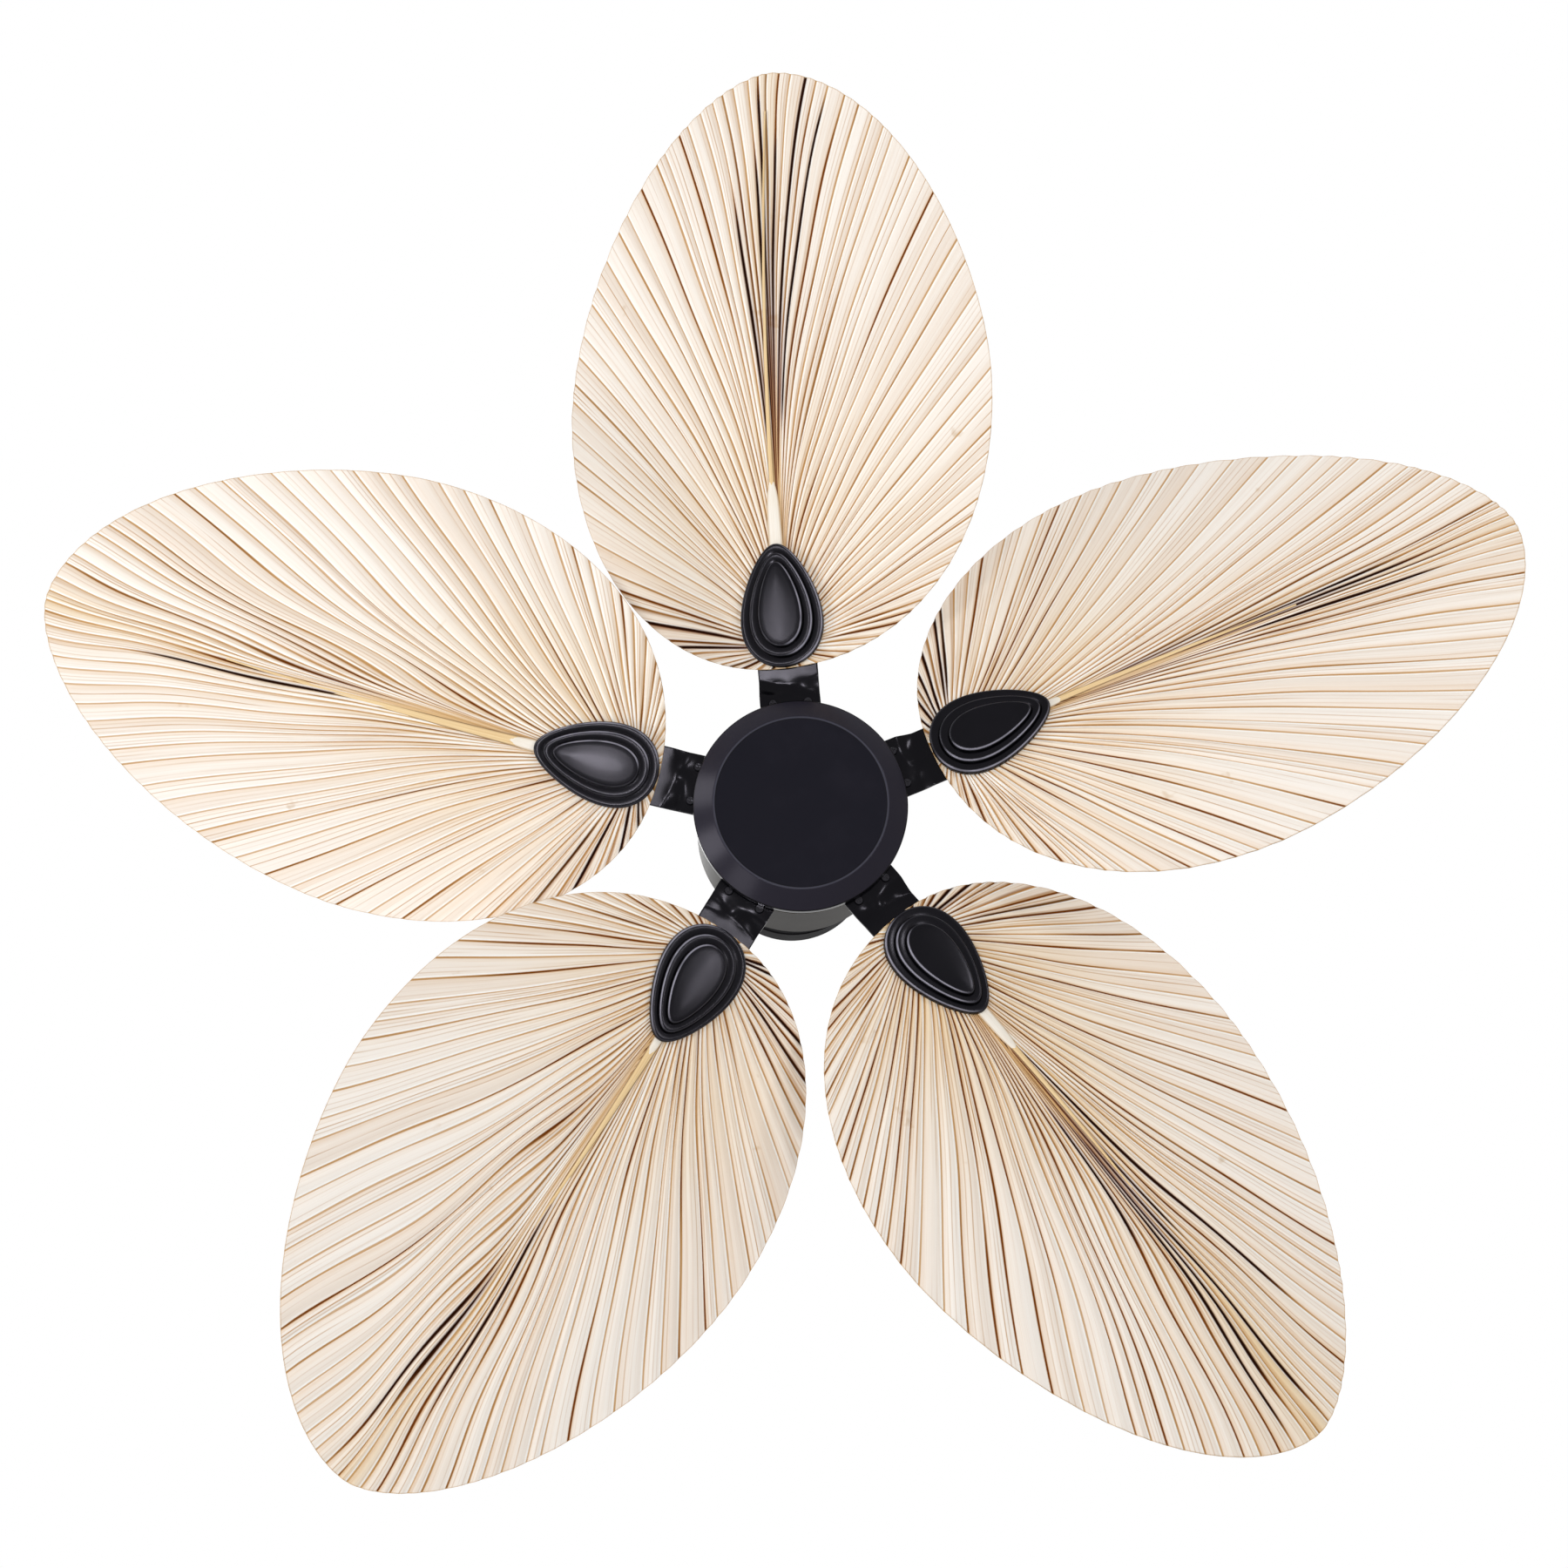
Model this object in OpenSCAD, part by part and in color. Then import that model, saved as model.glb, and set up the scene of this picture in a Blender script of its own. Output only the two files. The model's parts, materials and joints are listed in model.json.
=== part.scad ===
// Ceiling fan with five pleated palm leaf blades, hung close under the ceiling.
// Lengths are millimetres and +Z is up. The origin is the middle of the ceiling bracket's
// top face, so the whole fan hangs below z = 0. The first blade points along +X and the
// others follow it counter-clockwise, seen from above.

/* [Ceiling bracket] */
// Distance between the bracket's two slots
slot_spacing = 88.9; // [84:0.1:96]
// Width of a slot, for a number 8 or 10 box screw
slot_w = 5.6; // [4.8:0.1:6.4]
// Length of a slot, end to end
slot_len = 13; // [9:0.5:16]
// Width of the bracket's strap
bracket_w = 46; // [42:1:54]
// Thickness of the bracket's steel
bracket_t = 2.5; // [2:0.1:3]
// Length of the hole for the house wires, along the strap
wire_hole_l = 24; // [18:1:28]
// Width of the hole for the house wires, across the strap
wire_hole_w = 20; // [16:1:24]
// Width of the tab that keeps the hanger ball from turning
key_w = 3; // [2.5:0.1:3.6]

/* [Hanger ball] */
// Radius of the hanger ball
ball_r = 23; // [21:0.5:24]
// Depth of the ball's centre below the ceiling
ball_drop = 48; // [46:1:56]
// Thickness of the nylon seat liner
liner_t = 2.2; // [1.6:0.1:2.6]
// Running gap on each side of the liner
socket_gap = 0.3; // [0.25:0.05:0.5]

/* [Canopy] */
// Outer radius of the canopy at the ceiling
canopy_r = 72; // [68:0.5:80]
// Thickness of the canopy's sheet
canopy_t = 1.2; // [0.8:0.1:1.6]
// Height of the canopy's straight wall
canopy_wall_h = 40; // [20:1:44]
// Radius of the hole that the downrod passes through
canopy_hole_r = 17; // [16:0.5:19]

/* [Downrod and coupling] */
// Outer radius of the downrod
rod_r = 9.5; // [8.5:0.1:10]
// Wall of the downrod
rod_t = 1.6; // [1.2:0.1:2.4]
// Length of the downrod
rod_len = 95; // [62:1:120]
// Outer radius of the coupling's collar
collar_r = 16.5; // [14.5:0.5:18]
// Length of the downrod inside the collar
collar_grip = 16; // [14:1:18]
// Radius of the coupling's flange
flange_r = 38; // [36:1:44]
// Thickness of the coupling's flange
flange_t = 4; // [3:0.5:6]
// Radius of the coupling cover at its foot
cover_r = 36; // [35:1:38]

/* [Motor housing] */
// Outer radius of the drum
housing_r = 87; // [84:0.5:96]
// Height of the drum
housing_h = 104; // [98:1:120]
// Thickness of the drum's sheet
housing_t = 1.4; // [1:0.1:2]
// Height of the lid above the drum
lid_h = 15; // [12:1:22]
// Thickness of the lid's sheet
lid_t = 1.2; // [1:0.1:1.6]

/* [Motor] */
// Outer radius of the hollow motor shaft
shaft_r = 8; // [7:0.1:8.4]
// Outer radius of a ball bearing
bearing_r = 17.5; // [16:0.5:19]
// Thickness of a ball bearing
bearing_h = 7; // [6:0.5:8]
// Radial running gap between the shaft and the bearings
running_gap = 0.05; // [0.02:0.01:0.08]
// Outer radius of the rotor
rotor_r = 78; // [76:0.5:80]
// Height of the rotor
rotor_h = 73; // [68:1:78]
// Radius of the stator's core
stator_r = 60; // [54:0.5:62]
// Height of the stator's core
stator_h = 28; // [20:1:30]
// Air gap between the stator and the rotor ring
air_gap = 0.6; // [0.4:0.1:1]
// Thickness of the flange that carries the blade arms
blade_flange_t = 5; // [4:0.5:6]

/* [Blade arms] */
// Number of blades
blade_count = 5; // [3:1:5]
// Width of an arm
arm_w = 52; // [46:1:56]
// Thickness of an arm's steel
arm_t = 2.5; // [2:0.1:3]
// Distance of an arm's inner end from the fan's axis
arm_in_r = 66; // [62:1:72]
// Distance of an arm's outer end from the fan's axis
arm_out_r = 218; // [212:1:222]
// Distance of the two arm screws from the fan's axis
arm_screw_r = 92; // [90:0.5:93]
// Distance between the two screws of an arm
arm_screw_gap = 30; // [24:1:34]
// Pitch of the blades
pitch = 13.5; // [10:0.5:16]
// Droop of the blades
droop = 3.4; // [1:0.1:5]

/* [Palm leaves] */
// Distance of a leaf's root from the fan's axis
leaf_root_r = 125; // [122:1:128]
// Distance of a leaf's widest place from the fan's axis
leaf_wide_r = 366; // [340:1:390]
// Distance of a leaf's tip from the fan's axis
leaf_tip_r = 661; // [600:1:700]
// Half width of a leaf on its leading, lower side
leaf_lead_w = 197; // [170:1:202]
// Half width of a leaf on its trailing, upper side
leaf_trail_w = 173; // [150:1:178]
// Sideways lean of a leaf's tip towards its leading side
leaf_lean = 25; // [0:1:35]
// Thickness of the dried leaf
leaf_t = 1.2; // [1:0.1:1.6]
// Number of pleats of a leaf
pleats = 60; // [30:2:66]
// Height of a pleat from its middle at the leaf's edge
pleat_depth = 2; // [1:0.1:3]
// Distance of the point from which the first pleats spread
hub_point_r = 190; // [184:1:194]
// Length of the midrib that the other pleats leave one after another
midrib_len = 250; // [150:5:300]

/* [Medallions] */
// Length of a medallion
medallion_len = 108; // [102:1:112]
// Width of a medallion
medallion_w = 72; // [66:1:76]
// Height of a medallion
medallion_h = 11; // [9:0.1:14]
// Distance of a medallion's middle from the fan's axis
medallion_r = 177.5; // [176:0.5:180]
// Width of each of its two steps
medallion_step = 8.3; // [6:0.1:9]

/* [Bottom cap] */
// Outer radius of the cap's rim
cap_r = 90.7; // [88:0.1:96]
// Radius of the cap's flat face
cap_face_r = 74.3; // [66:0.1:80]
// Height of the cap's straight wall
cap_wall_h = 8; // [7:0.5:14]
// Height of the cap's chamfer
cap_chamfer_h = 12.7; // [10:0.1:16]
// Thickness of the cap's sheet
cap_t = 1.2; // [1:0.1:1.6]

/* [Reverse switch] */
// Travel of the reverse slider
slider_travel = 4.4; // [3:0.1:5]
// Angle of the reverse switch about the fan's axis
switch_angle = -36; // [-50:1:-22]

/* [Hidden] */
$fn = 96;

// Small fasteners and gaps that repeat
cut = 0.5;
fit_gap = 0.05;
part_gap = 0.8;
small_screw_r = 2;
small_head_r = 4;
small_head_h = 2;
blade_screw_r = 2.45;
blade_head_r = 4;
blade_head_h = 2.4;

// Heights, from the ceiling down
ball_z = -ball_drop;
seat_depth = 18;
seat_top_z = ball_z - 6;
seat_bottom_z = ball_z - seat_depth;
canopy_top_z = -1;
canopy_bottom_z = seat_bottom_z - part_gap - canopy_t;
canopy_screw_z = -12;
rod_top_z = ball_z + 18;
rod_bottom_z = rod_top_z - rod_len;
collar_top_z = rod_bottom_z + collar_grip;
flange_top_z = rod_bottom_z - 4.2;
flange_bottom_z = flange_top_z - flange_t;
lid_top_z = flange_top_z + lid_t;
housing_top_z = lid_top_z - lid_h;
housing_bottom_z = housing_top_z - housing_h;
rotor_bottom_z = housing_bottom_z;
rotor_top_z = rotor_bottom_z + rotor_h;
stator_z = (rotor_top_z + rotor_bottom_z) / 2;
blade_flange_z = rotor_bottom_z - 3;
arm_top_z = blade_flange_z - blade_flange_t;
arm_bottom_z = arm_top_z - arm_t;
blade_z = arm_top_z + 5;
cap_top_z = arm_bottom_z - blade_head_h - 2.1;
cap_rim_z = cap_top_z - cap_wall_h;
cap_bottom_z = cap_rim_z - cap_chamfer_h;
plate_t = 1.5;
plate_top_z = cap_top_z - 1;
plate_bottom_z = plate_top_z - plate_t;
shaft_top_z = rod_bottom_z - 0.3;
shaft_bottom_z = plate_bottom_z - 8;
shaft_bore_r = shaft_r - 3.5;

// Ceiling bracket
wall_x = ball_r + 4.5;
tab_half_w = 9;
tab_out_x = sqrt(pow(canopy_r - canopy_t - 0.4, 2) - tab_half_w * tab_half_w);
strap_half_x = wall_x + bracket_t + 8;
tab_h = 20;
wire_corner_r = 2;
key_depth = 2.5;
key_h = 6;
ball_slot_w = key_w + 2;
ball_slot_h = 28;
rod_way = rod_r + 2.2;
liner_in_r = ball_r + socket_gap;
liner_out_r = liner_in_r + liner_t;
pocket_r = liner_out_r + socket_gap;
liner_top_z = ball_z - 8;
liner_bottom_z = ball_z - 14;
receiver_top_z = -bracket_t - part_gap;
receiver_h = 11;
receiver_w = bracket_w / 2 - 3.5;
canopy_foot_r = norm([wall_x + bracket_t, bracket_w / 2]) + 4.2;
canopy_bead_r = 1.2;

// Cross pin, coupling pin and their places
cross_pin_r = 3;
cross_pin_z = ball_z;
coupling_pin_r = 3.2;
coupling_pin_z = collar_top_z - 8.5;
coupling_pin_half = collar_r + 3.5;
coupling_head_r = coupling_pin_r + 1.4;
hairpin_r = 0.7;
hairpin_half_h = 4.6;
cover_foot_h = 3;
cover_top_z = collar_top_z + 1 + canopy_t;
cover_crown_r = 12;
coupling_screw_r = 28;
coupling_screw_count = 3;
lid_screw_r = housing_r - 9;
lid_screw_count = 4;
lid_rim_r = housing_r - 2.5;
lid_ring_w = 12.5;
lid_flat_r = flange_r + 2;
lid_rim_h = lid_t + 0.8;
lip_r = 1.6;

// Motor
hub_r = bearing_r + 4.5;
hub_hole_r = bearing_r - 3.5;
bell_t = 3.5;
bell_wall = 14;
bearing_lip = 2.5;
upper_hub_z = rotor_top_z + 10;
upper_bearing_z = upper_hub_z - bearing_lip - bearing_h;
lower_hub_z = rotor_bottom_z + 12.5;
lower_bearing_z = lower_hub_z - bearing_lip - bearing_h;
ring_top_z = stator_z + stator_h / 2;
ring_bottom_z = stator_z - stator_h / 2;
bolt_circle_r = rotor_r - 8;
rotor_bolt_r = 2;
rotor_bolt_count = 5;
slot_count = 12;
winding_slot_r = 3.8;
winding_r = stator_r - 12;
winding_w = 20;
winding_h = 11;
retainer_t = 1.2;
lead_r = 1.5;
connector_l = 14;
connector_w = 9;
connector_h = 11;
lead_rod_x = rod_r - rod_t - lead_r - 0.6;
lead_shaft_x = shaft_bore_r - lead_r - 0.4;
lead_winding_x = winding_r - 4;
lead_exit_z = ring_top_z + winding_h + 4.5;
riser_out_r = rotor_r - 16;
riser_in_r = riser_out_r - 22;
blade_flange_r = rotor_r + 4;
ear_out_r = arm_screw_r + 6;
ear_half_w = arm_w / 2 - 2;

// Blade arm: flat under the rotor, then pitched and drooped beside the leaf
arm_bend_in_r = 101;
arm_bend_out_r = 122;
arm_taper_r = 180;
arm_steps_bend = 6;
arm_steps_end = 8;
leaf_room = leaf_t / 2 + pleat_depth / 2 + 0.2;
arm_mid_w = leaf_room + arm_t / 2;
leaf_screw_in_r = medallion_r - 28;
leaf_screw_out_r = arm_out_r - 17.5;
leaf_screw_half_gap = 15;
leaf_screw_len = leaf_room + arm_t + leaf_room + 4.4;
boss_r = 4.5;
boss_bore_r = small_screw_r + fit_gap;
leaf_hole_r = boss_r + 0.5;

// Leaf outline: superellipse quadrants that meet at the widest place, and lean at the tip
tip_power = 1.7;
root_power = 2.2;
rays = 2 * pleats;
ring_shares = [0, 0.35, 1];
rings = len(ring_shares);
midrib_r = 4;
midrib_span = 110;
pleat_growth = 150;

// Medallion outline: an egg with its small end outwards
egg_taper = 0.32;
egg_steps = 48;
egg_wide_cos = (1 - sqrt(1 + 8 * egg_taper * egg_taper)) / (4 * egg_taper);
egg_peak = sin(acos(egg_wide_cos)) * (1 - egg_taper * egg_wide_cos);

// Bottom cap's inner parts
clip_count = 3;
clip_half_w = 7;
clip_t = 1.2;
clip_out_x = sqrt(pow(cap_r - cap_t, 2) - clip_half_w * clip_half_w) - fit_gap;
bead_t = 1.2;
bead_w = 2.2;
capacitor_l = 47;
capacitor_w = 30;
capacitor_h = 13;
capacitor_x = 42;

// Reverse switch
switch_z = housing_top_z - 12;
switch_half_w = 9;
switch_half_h = 6.5;
switch_depth = 9;
switch_face_x = sqrt(pow(housing_r - housing_t, 2) - switch_half_w * switch_half_w);
slider_w = 3.4;
slider_h = 3.6;
slider_proud = 2.5;
slider_side_gap = 0.5;
slider_rest_z = switch_z - slider_travel / 2;
slider_cut_z = slider_rest_z - slider_h / 2 - slider_side_gap;
slider_cut_h = slider_h + slider_travel + 2 * slider_side_gap;

// ---------- helpers ----------

// A ring about Z between two heights
module ring(outer, inner, low, high) {
    translate([0, 0, low]) difference() {
        cylinder(r = outer, h = high - low);
        translate([0, 0, -cut]) cylinder(r = inner, h = high - low + 2 * cut);
    }
}

// A turned shell whose wall lies between two profiles, each a list of [radius, height]
module shell(outside, inside) {
    rotate_extrude() polygon(concat(outside, [for (k = [len(inside) - 1:-1:0]) inside[k]]));
}

// A quarter of an ellipse from its side round to its foot, or to its top if rz is negative
function quarter(x, z, rx, rz, steps) =
    [for (k = [0:steps]) [x + rx * cos(90 * k / steps), z - rz * sin(90 * k / steps)]];

// Copies at equal angles about Z
module around(count, start = 0) {
    for (k = [0:count - 1]) rotate([0, 0, start + 360 * k / count]) children();
}

// The place of blade i, level, with the blade along +X
module at_blade(i) {
    rotate([0, 0, 360 * (i - 1) / blade_count]) children();
}

// The plane of leaf i: X runs out along the blade and Z is square to the leaf
module on_leaf(i) {
    at_blade(i) translate([0, 0, blade_z]) rotate([-pitch, droop, 0]) children();
}

// The three places where a leaf is clamped, in the plane of the leaf
leaf_screw_places = [
    [leaf_screw_in_r, leaf_screw_half_gap],
    [leaf_screw_in_r, -leaf_screw_half_gap],
    [leaf_screw_out_r, 0]
];
module at_leaf_screws() {
    for (p = leaf_screw_places) translate([p[0], p[1], 0]) children();
}

// The two places where an arm is screwed to the rotor
module at_arm_screws() {
    for (side = [-1, 1]) translate([arm_screw_r, side * arm_screw_gap / 2, 0]) children();
}

// A screw along Z with its head's under side at z = 0 and its shank going down
module screw(shank_r, shank_len, head_r, head_h) {
    translate([0, 0, -shank_len]) cylinder(r = shank_r, h = shank_len, $fn = 32);
    difference() {
        cylinder(r1 = head_r, r2 = head_r * 0.8, h = head_h, $fn = 32);
        translate([-head_r * 0.6, -0.5, head_h / 2]) cube([head_r * 1.2, 1, head_h]);
        translate([-0.5, -head_r * 0.6, head_h / 2]) cube([1, head_r * 1.2, head_h]);
    }
}

// ---------- fixed to the ceiling ----------

module ceiling_bracket() color([0.62, 0.63, 0.65]) {
    difference() {
        union() {
            translate([-strap_half_x, -bracket_w / 2, -bracket_t])
                cube([2 * strap_half_x, bracket_w, bracket_t]);
            translate([-tab_out_x, -tab_half_w, -bracket_t])
                cube([2 * tab_out_x, 2 * tab_half_w, bracket_t]);
            for (side = [0, 180]) rotate([0, 0, side]) {
                translate([wall_x, -bracket_w / 2, seat_bottom_z])
                    cube([bracket_t, bracket_w, -seat_bottom_z - bracket_t / 2]);
                translate([tab_out_x - bracket_t, -tab_half_w, -tab_h])
                    cube([bracket_t, 2 * tab_half_w, tab_h - bracket_t / 2]);
            }
            translate([-wall_x - cut, -bracket_w / 2, seat_bottom_z])
                cube([2 * (wall_x + cut), bracket_w, seat_top_z - seat_bottom_z]);
        }
        translate([0, 0, ball_z]) sphere(r = pocket_r);
        translate([-rod_way, -bracket_w, seat_bottom_z - cut])
            cube([2 * rod_way, bracket_w, seat_top_z - seat_bottom_z + 2 * cut]);
        translate([0, 0, -bracket_t - cut]) linear_extrude(bracket_t + 2 * cut) wire_hole_outline();
        for (side = [-1, 1]) translate([side * slot_spacing / 2, 0, -bracket_t - cut])
            linear_extrude(bracket_t + 2 * cut) slot_outline();
        for (side = [0, 180]) rotate([0, 0, side])
            translate([tab_out_x - bracket_t - cut, 0, canopy_screw_z]) rotate([0, 90, 0])
                cylinder(r = small_screw_r + fit_gap, h = bracket_t + 2 * cut, $fn = 32);
    }
    translate([ball_r - key_depth, -key_w / 2, ball_z - key_h / 2])
        cube([wall_x - ball_r + key_depth + cut, key_w, key_h]);
}

// A slot with round ends along X
module slot_outline() {
    run = (slot_len - slot_w) / 2;
    square([2 * run, slot_w], center = true);
    for (side = [-1, 1]) translate([side * run, 0]) circle(d = slot_w);
}

// The hole for the house wires, a rectangle with round corners
module wire_hole_outline() {
    half_l = wire_hole_l / 2 - wire_corner_r;
    half_w = wire_hole_w / 2 - wire_corner_r;
    square([wire_hole_l, 2 * half_w], center = true);
    square([2 * half_l, wire_hole_w], center = true);
    for (x = [-half_l, half_l], y = [-half_w, half_w])
        translate([x, y]) circle(r = wire_corner_r, $fn = 32);
}

module remote_receiver() color([0.16, 0.16, 0.17])
    translate([-wall_x + part_gap, -bracket_w / 2 + 2, receiver_top_z - receiver_h])
        difference() {
            cube([2 * (wall_x - part_gap), receiver_w, receiver_h]);
            for (k = [0:3]) translate([6 + 12 * k, -cut, 3]) cube([5, 3, 5]);
        }

// The canopy's outer line at a depth inside its sheet
function canopy_line(inset) = concat(
    [[canopy_r - inset, canopy_top_z]],
    quarter(canopy_foot_r, canopy_top_z - canopy_wall_h, canopy_r - canopy_foot_r - inset,
        canopy_top_z - canopy_wall_h - canopy_bottom_z - inset, 12),
    [[canopy_hole_r, canopy_bottom_z + inset]]
);
module canopy() color([0.06, 0.06, 0.07]) difference() {
    union() {
        shell(canopy_line(0), canopy_line(canopy_t));
        rotate_extrude() translate([canopy_r, canopy_top_z - canopy_wall_h])
            circle(r = canopy_bead_r, $fn = 24);
    }
    for (side = [0, 180]) rotate([0, 0, side])
        translate([canopy_r - 4, 0, canopy_screw_z]) rotate([0, 90, 0])
            cylinder(r = small_screw_r + 0.3, h = 8, $fn = 32);
}

module canopy_screws() color([0.2, 0.2, 0.21])
    for (side = [0, 180]) rotate([0, 0, side])
        translate([canopy_r, 0, canopy_screw_z]) rotate([0, 90, 0])
            screw(small_screw_r, canopy_r - tab_out_x + bracket_t + 2, small_head_r, small_head_h);

// ---------- ball joint ----------

module ball_seat_liner() color([0.85, 0.85, 0.82]) difference() {
    translate([0, 0, ball_z]) sphere(r = liner_out_r);
    translate([0, 0, ball_z]) sphere(r = liner_in_r);
    translate([0, 0, liner_top_z]) cylinder(r = 2 * ball_r, h = 4 * ball_r);
    translate([0, 0, liner_bottom_z - 4 * ball_r]) cylinder(r = 2 * ball_r, h = 4 * ball_r);
    translate([-rod_way, -2 * ball_r, liner_bottom_z - cut])
        cube([2 * rod_way, 2 * ball_r, liner_top_z - liner_bottom_z + 2 * cut]);
}

module hanger_ball() color([0.35, 0.36, 0.38]) difference() {
    translate([0, 0, ball_z]) sphere(r = ball_r);
    translate([0, 0, ball_z + seat_depth + 2]) cylinder(r = ball_r, h = ball_r);
    translate([0, 0, ball_z - seat_depth - ball_r]) cylinder(r = ball_r, h = ball_r);
    translate([0, 0, ball_z - 2 * ball_r]) cylinder(r = rod_r + fit_gap, h = 4 * ball_r);
    translate([0, 0, cross_pin_z]) rotate([90, 0, 0]) translate([0, 0, -2 * ball_r])
        cylinder(r = cross_pin_r + fit_gap, h = 4 * ball_r, $fn = 32);
    translate([ball_r - key_depth - 2, -ball_slot_w / 2, ball_z - ball_slot_h / 2])
        cube([ball_r, ball_slot_w, ball_slot_h]);
    rotate([0, 0, 180]) translate([0, 0, ball_z]) rotate([0, 90, 0])
        cylinder(r = small_screw_r + fit_gap, h = 2 * ball_r, $fn = 32);
}

module ball_cross_pin() color([0.75, 0.76, 0.78])
    translate([0, 0, cross_pin_z]) rotate([90, 0, 0]) translate([0, 0, 5 - ball_r])
        cylinder(r = cross_pin_r, h = 2 * (ball_r - 5), $fn = 32);

module ball_set_screw() color([0.7, 0.7, 0.72])
    rotate([0, 0, 180]) translate([rod_r, 0, ball_z]) rotate([0, 90, 0]) difference() {
        cylinder(r = small_screw_r, h = ball_r - rod_r - 3, $fn = 32);
        translate([-3, -0.4, ball_r - rod_r - 4]) cube([6, 0.8, 2]);
    }

module downrod() color([0.06, 0.06, 0.07]) difference() {
    ring(rod_r, rod_r - rod_t, rod_bottom_z, rod_top_z);
    translate([0, 0, cross_pin_z]) rotate([90, 0, 0]) translate([0, 0, -ball_r])
        cylinder(r = cross_pin_r + fit_gap, h = 2 * ball_r, $fn = 32);
    translate([0, 0, coupling_pin_z]) rotate([90, 0, 0]) translate([0, 0, -ball_r])
        cylinder(r = coupling_pin_r + fit_gap, h = 2 * ball_r, $fn = 32);
}

// ---------- coupling ----------

module motor_coupling() color([0.3, 0.31, 0.33]) difference() {
    union() {
        translate([0, 0, flange_bottom_z]) cylinder(r = collar_r, h = collar_top_z - flange_bottom_z);
        translate([0, 0, flange_bottom_z]) cylinder(r = flange_r, h = flange_t);
    }
    translate([0, 0, rod_bottom_z]) cylinder(r = rod_r + fit_gap, h = rod_len);
    translate([0, 0, flange_bottom_z - cut])
        cylinder(r = shaft_r, h = rod_bottom_z - flange_bottom_z + 2 * cut);
    translate([0, 0, coupling_pin_z]) rotate([90, 0, 0]) translate([0, 0, -2 * collar_r])
        cylinder(r = coupling_pin_r + fit_gap, h = 4 * collar_r, $fn = 32);
    for (side = [0, 180]) rotate([0, 0, side])
        translate([0, 0, coupling_pin_z]) rotate([0, 90, 0])
            cylinder(r = small_screw_r + fit_gap, h = 2 * collar_r, $fn = 32);
    around(coupling_screw_count, 30) translate([coupling_screw_r, 0, flange_bottom_z - cut])
        cylinder(r = small_screw_r + fit_gap, h = flange_t + 2 * cut, $fn = 32);
}

module coupling_pin() color([0.75, 0.76, 0.78])
    translate([0, 0, coupling_pin_z]) rotate([90, 0, 0]) difference() {
        union() {
            translate([0, 0, -coupling_pin_half])
                cylinder(r = coupling_pin_r, h = 2 * coupling_pin_half, $fn = 32);
            translate([0, 0, coupling_pin_half])
                cylinder(r = coupling_head_r, h = 1.8, $fn = 32);
        }
        translate([0, 0, 2 - coupling_pin_half]) rotate([90, 0, 0])
            translate([0, 0, -2 * coupling_pin_r]) cylinder(r = 0.8, h = 4 * coupling_pin_r, $fn = 16);
    }

module coupling_hairpin() color([0.75, 0.76, 0.78])
    translate([0, coupling_pin_half - 2, coupling_pin_z]) {
        for (x = [0, 4]) translate([x, 0, -hairpin_half_h])
            cylinder(r = hairpin_r, h = 2 * hairpin_half_h, $fn = 16);
        translate([0, 0, hairpin_half_h - hairpin_r]) rotate([0, 90, 0])
            cylinder(r = hairpin_r, h = 4, $fn = 16);
    }

module coupling_set_screws() color([0.7, 0.7, 0.72])
    for (side = [0, 180]) rotate([0, 0, side])
        translate([rod_r, 0, coupling_pin_z]) rotate([0, 90, 0])
            cylinder(r = small_screw_r, h = collar_r - rod_r + 2, $fn = 32);

// The coupling cover's line at a depth inside its sheet
function cover_line(inset) = concat(
    [[cover_r - inset, lid_top_z]],
    quarter(cover_crown_r, lid_top_z + cover_foot_h, cover_r - cover_crown_r - inset,
        lid_top_z + cover_foot_h - cover_top_z + inset, 10),
    [[rod_r + 1.5, cover_top_z - inset]]
);

module coupling_cover() color([0.06, 0.06, 0.07]) shell(cover_line(0), cover_line(canopy_t));

module coupling_flange_screws() color([0.6, 0.6, 0.62])
    around(coupling_screw_count, 30) translate([coupling_screw_r, 0, lid_top_z])
        screw(small_screw_r, lid_t + flange_t, small_head_r, small_head_h);

// ---------- motor housing ----------

module motor_housing() color([0.09, 0.09, 0.1]) difference() {
    union() {
        ring(housing_r, housing_r - housing_t, housing_bottom_z, housing_top_z);
        ring(housing_r - housing_t / 2, lid_screw_r - 6, housing_top_z - housing_t, housing_top_z);
        rotate_extrude() translate([housing_r, housing_bottom_z + lip_r]) circle(r = lip_r, $fn = 24);
    }
    around(lid_screw_count, 45) translate([lid_screw_r, 0, housing_top_z - 2 * housing_t])
        cylinder(r = small_screw_r + fit_gap, h = 4 * housing_t, $fn = 32);
    rotate([0, 0, switch_angle])
        translate([housing_r - 6, -slider_w / 2 - slider_side_gap, slider_cut_z])
            cube([12, slider_w + 2 * slider_side_gap, slider_cut_h]);
}

// The lid's line at a depth below its upper surface
function lid_line(depth) = [
    [lid_rim_r, housing_top_z + lid_rim_h - depth],
    [lid_rim_r - lid_ring_w, housing_top_z + lid_rim_h - depth],
    [lid_rim_r - lid_ring_w - 5, housing_top_z + 0.45 * lid_h - depth],
    [lid_flat_r + 8, lid_top_z - 1.6 - depth],
    [lid_flat_r, lid_top_z - depth],
    [collar_r + part_gap, lid_top_z - depth]
];

module housing_lid() color([0.07, 0.07, 0.08]) difference() {
    union() {
        shell(lid_line(0), lid_line(lid_t));
        ring(lid_rim_r, lid_rim_r - lid_t, housing_top_z, housing_top_z + lid_rim_h);
    }
    around(coupling_screw_count, 30) translate([coupling_screw_r, 0, lid_top_z - 2 * lid_t])
        cylinder(r = small_screw_r + 0.3, h = 3 * lid_t, $fn = 32);
    around(lid_screw_count, 45) translate([lid_screw_r, 0, housing_top_z])
        cylinder(r = small_screw_r + 0.3, h = 4 * lid_t, $fn = 32);
}

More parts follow.
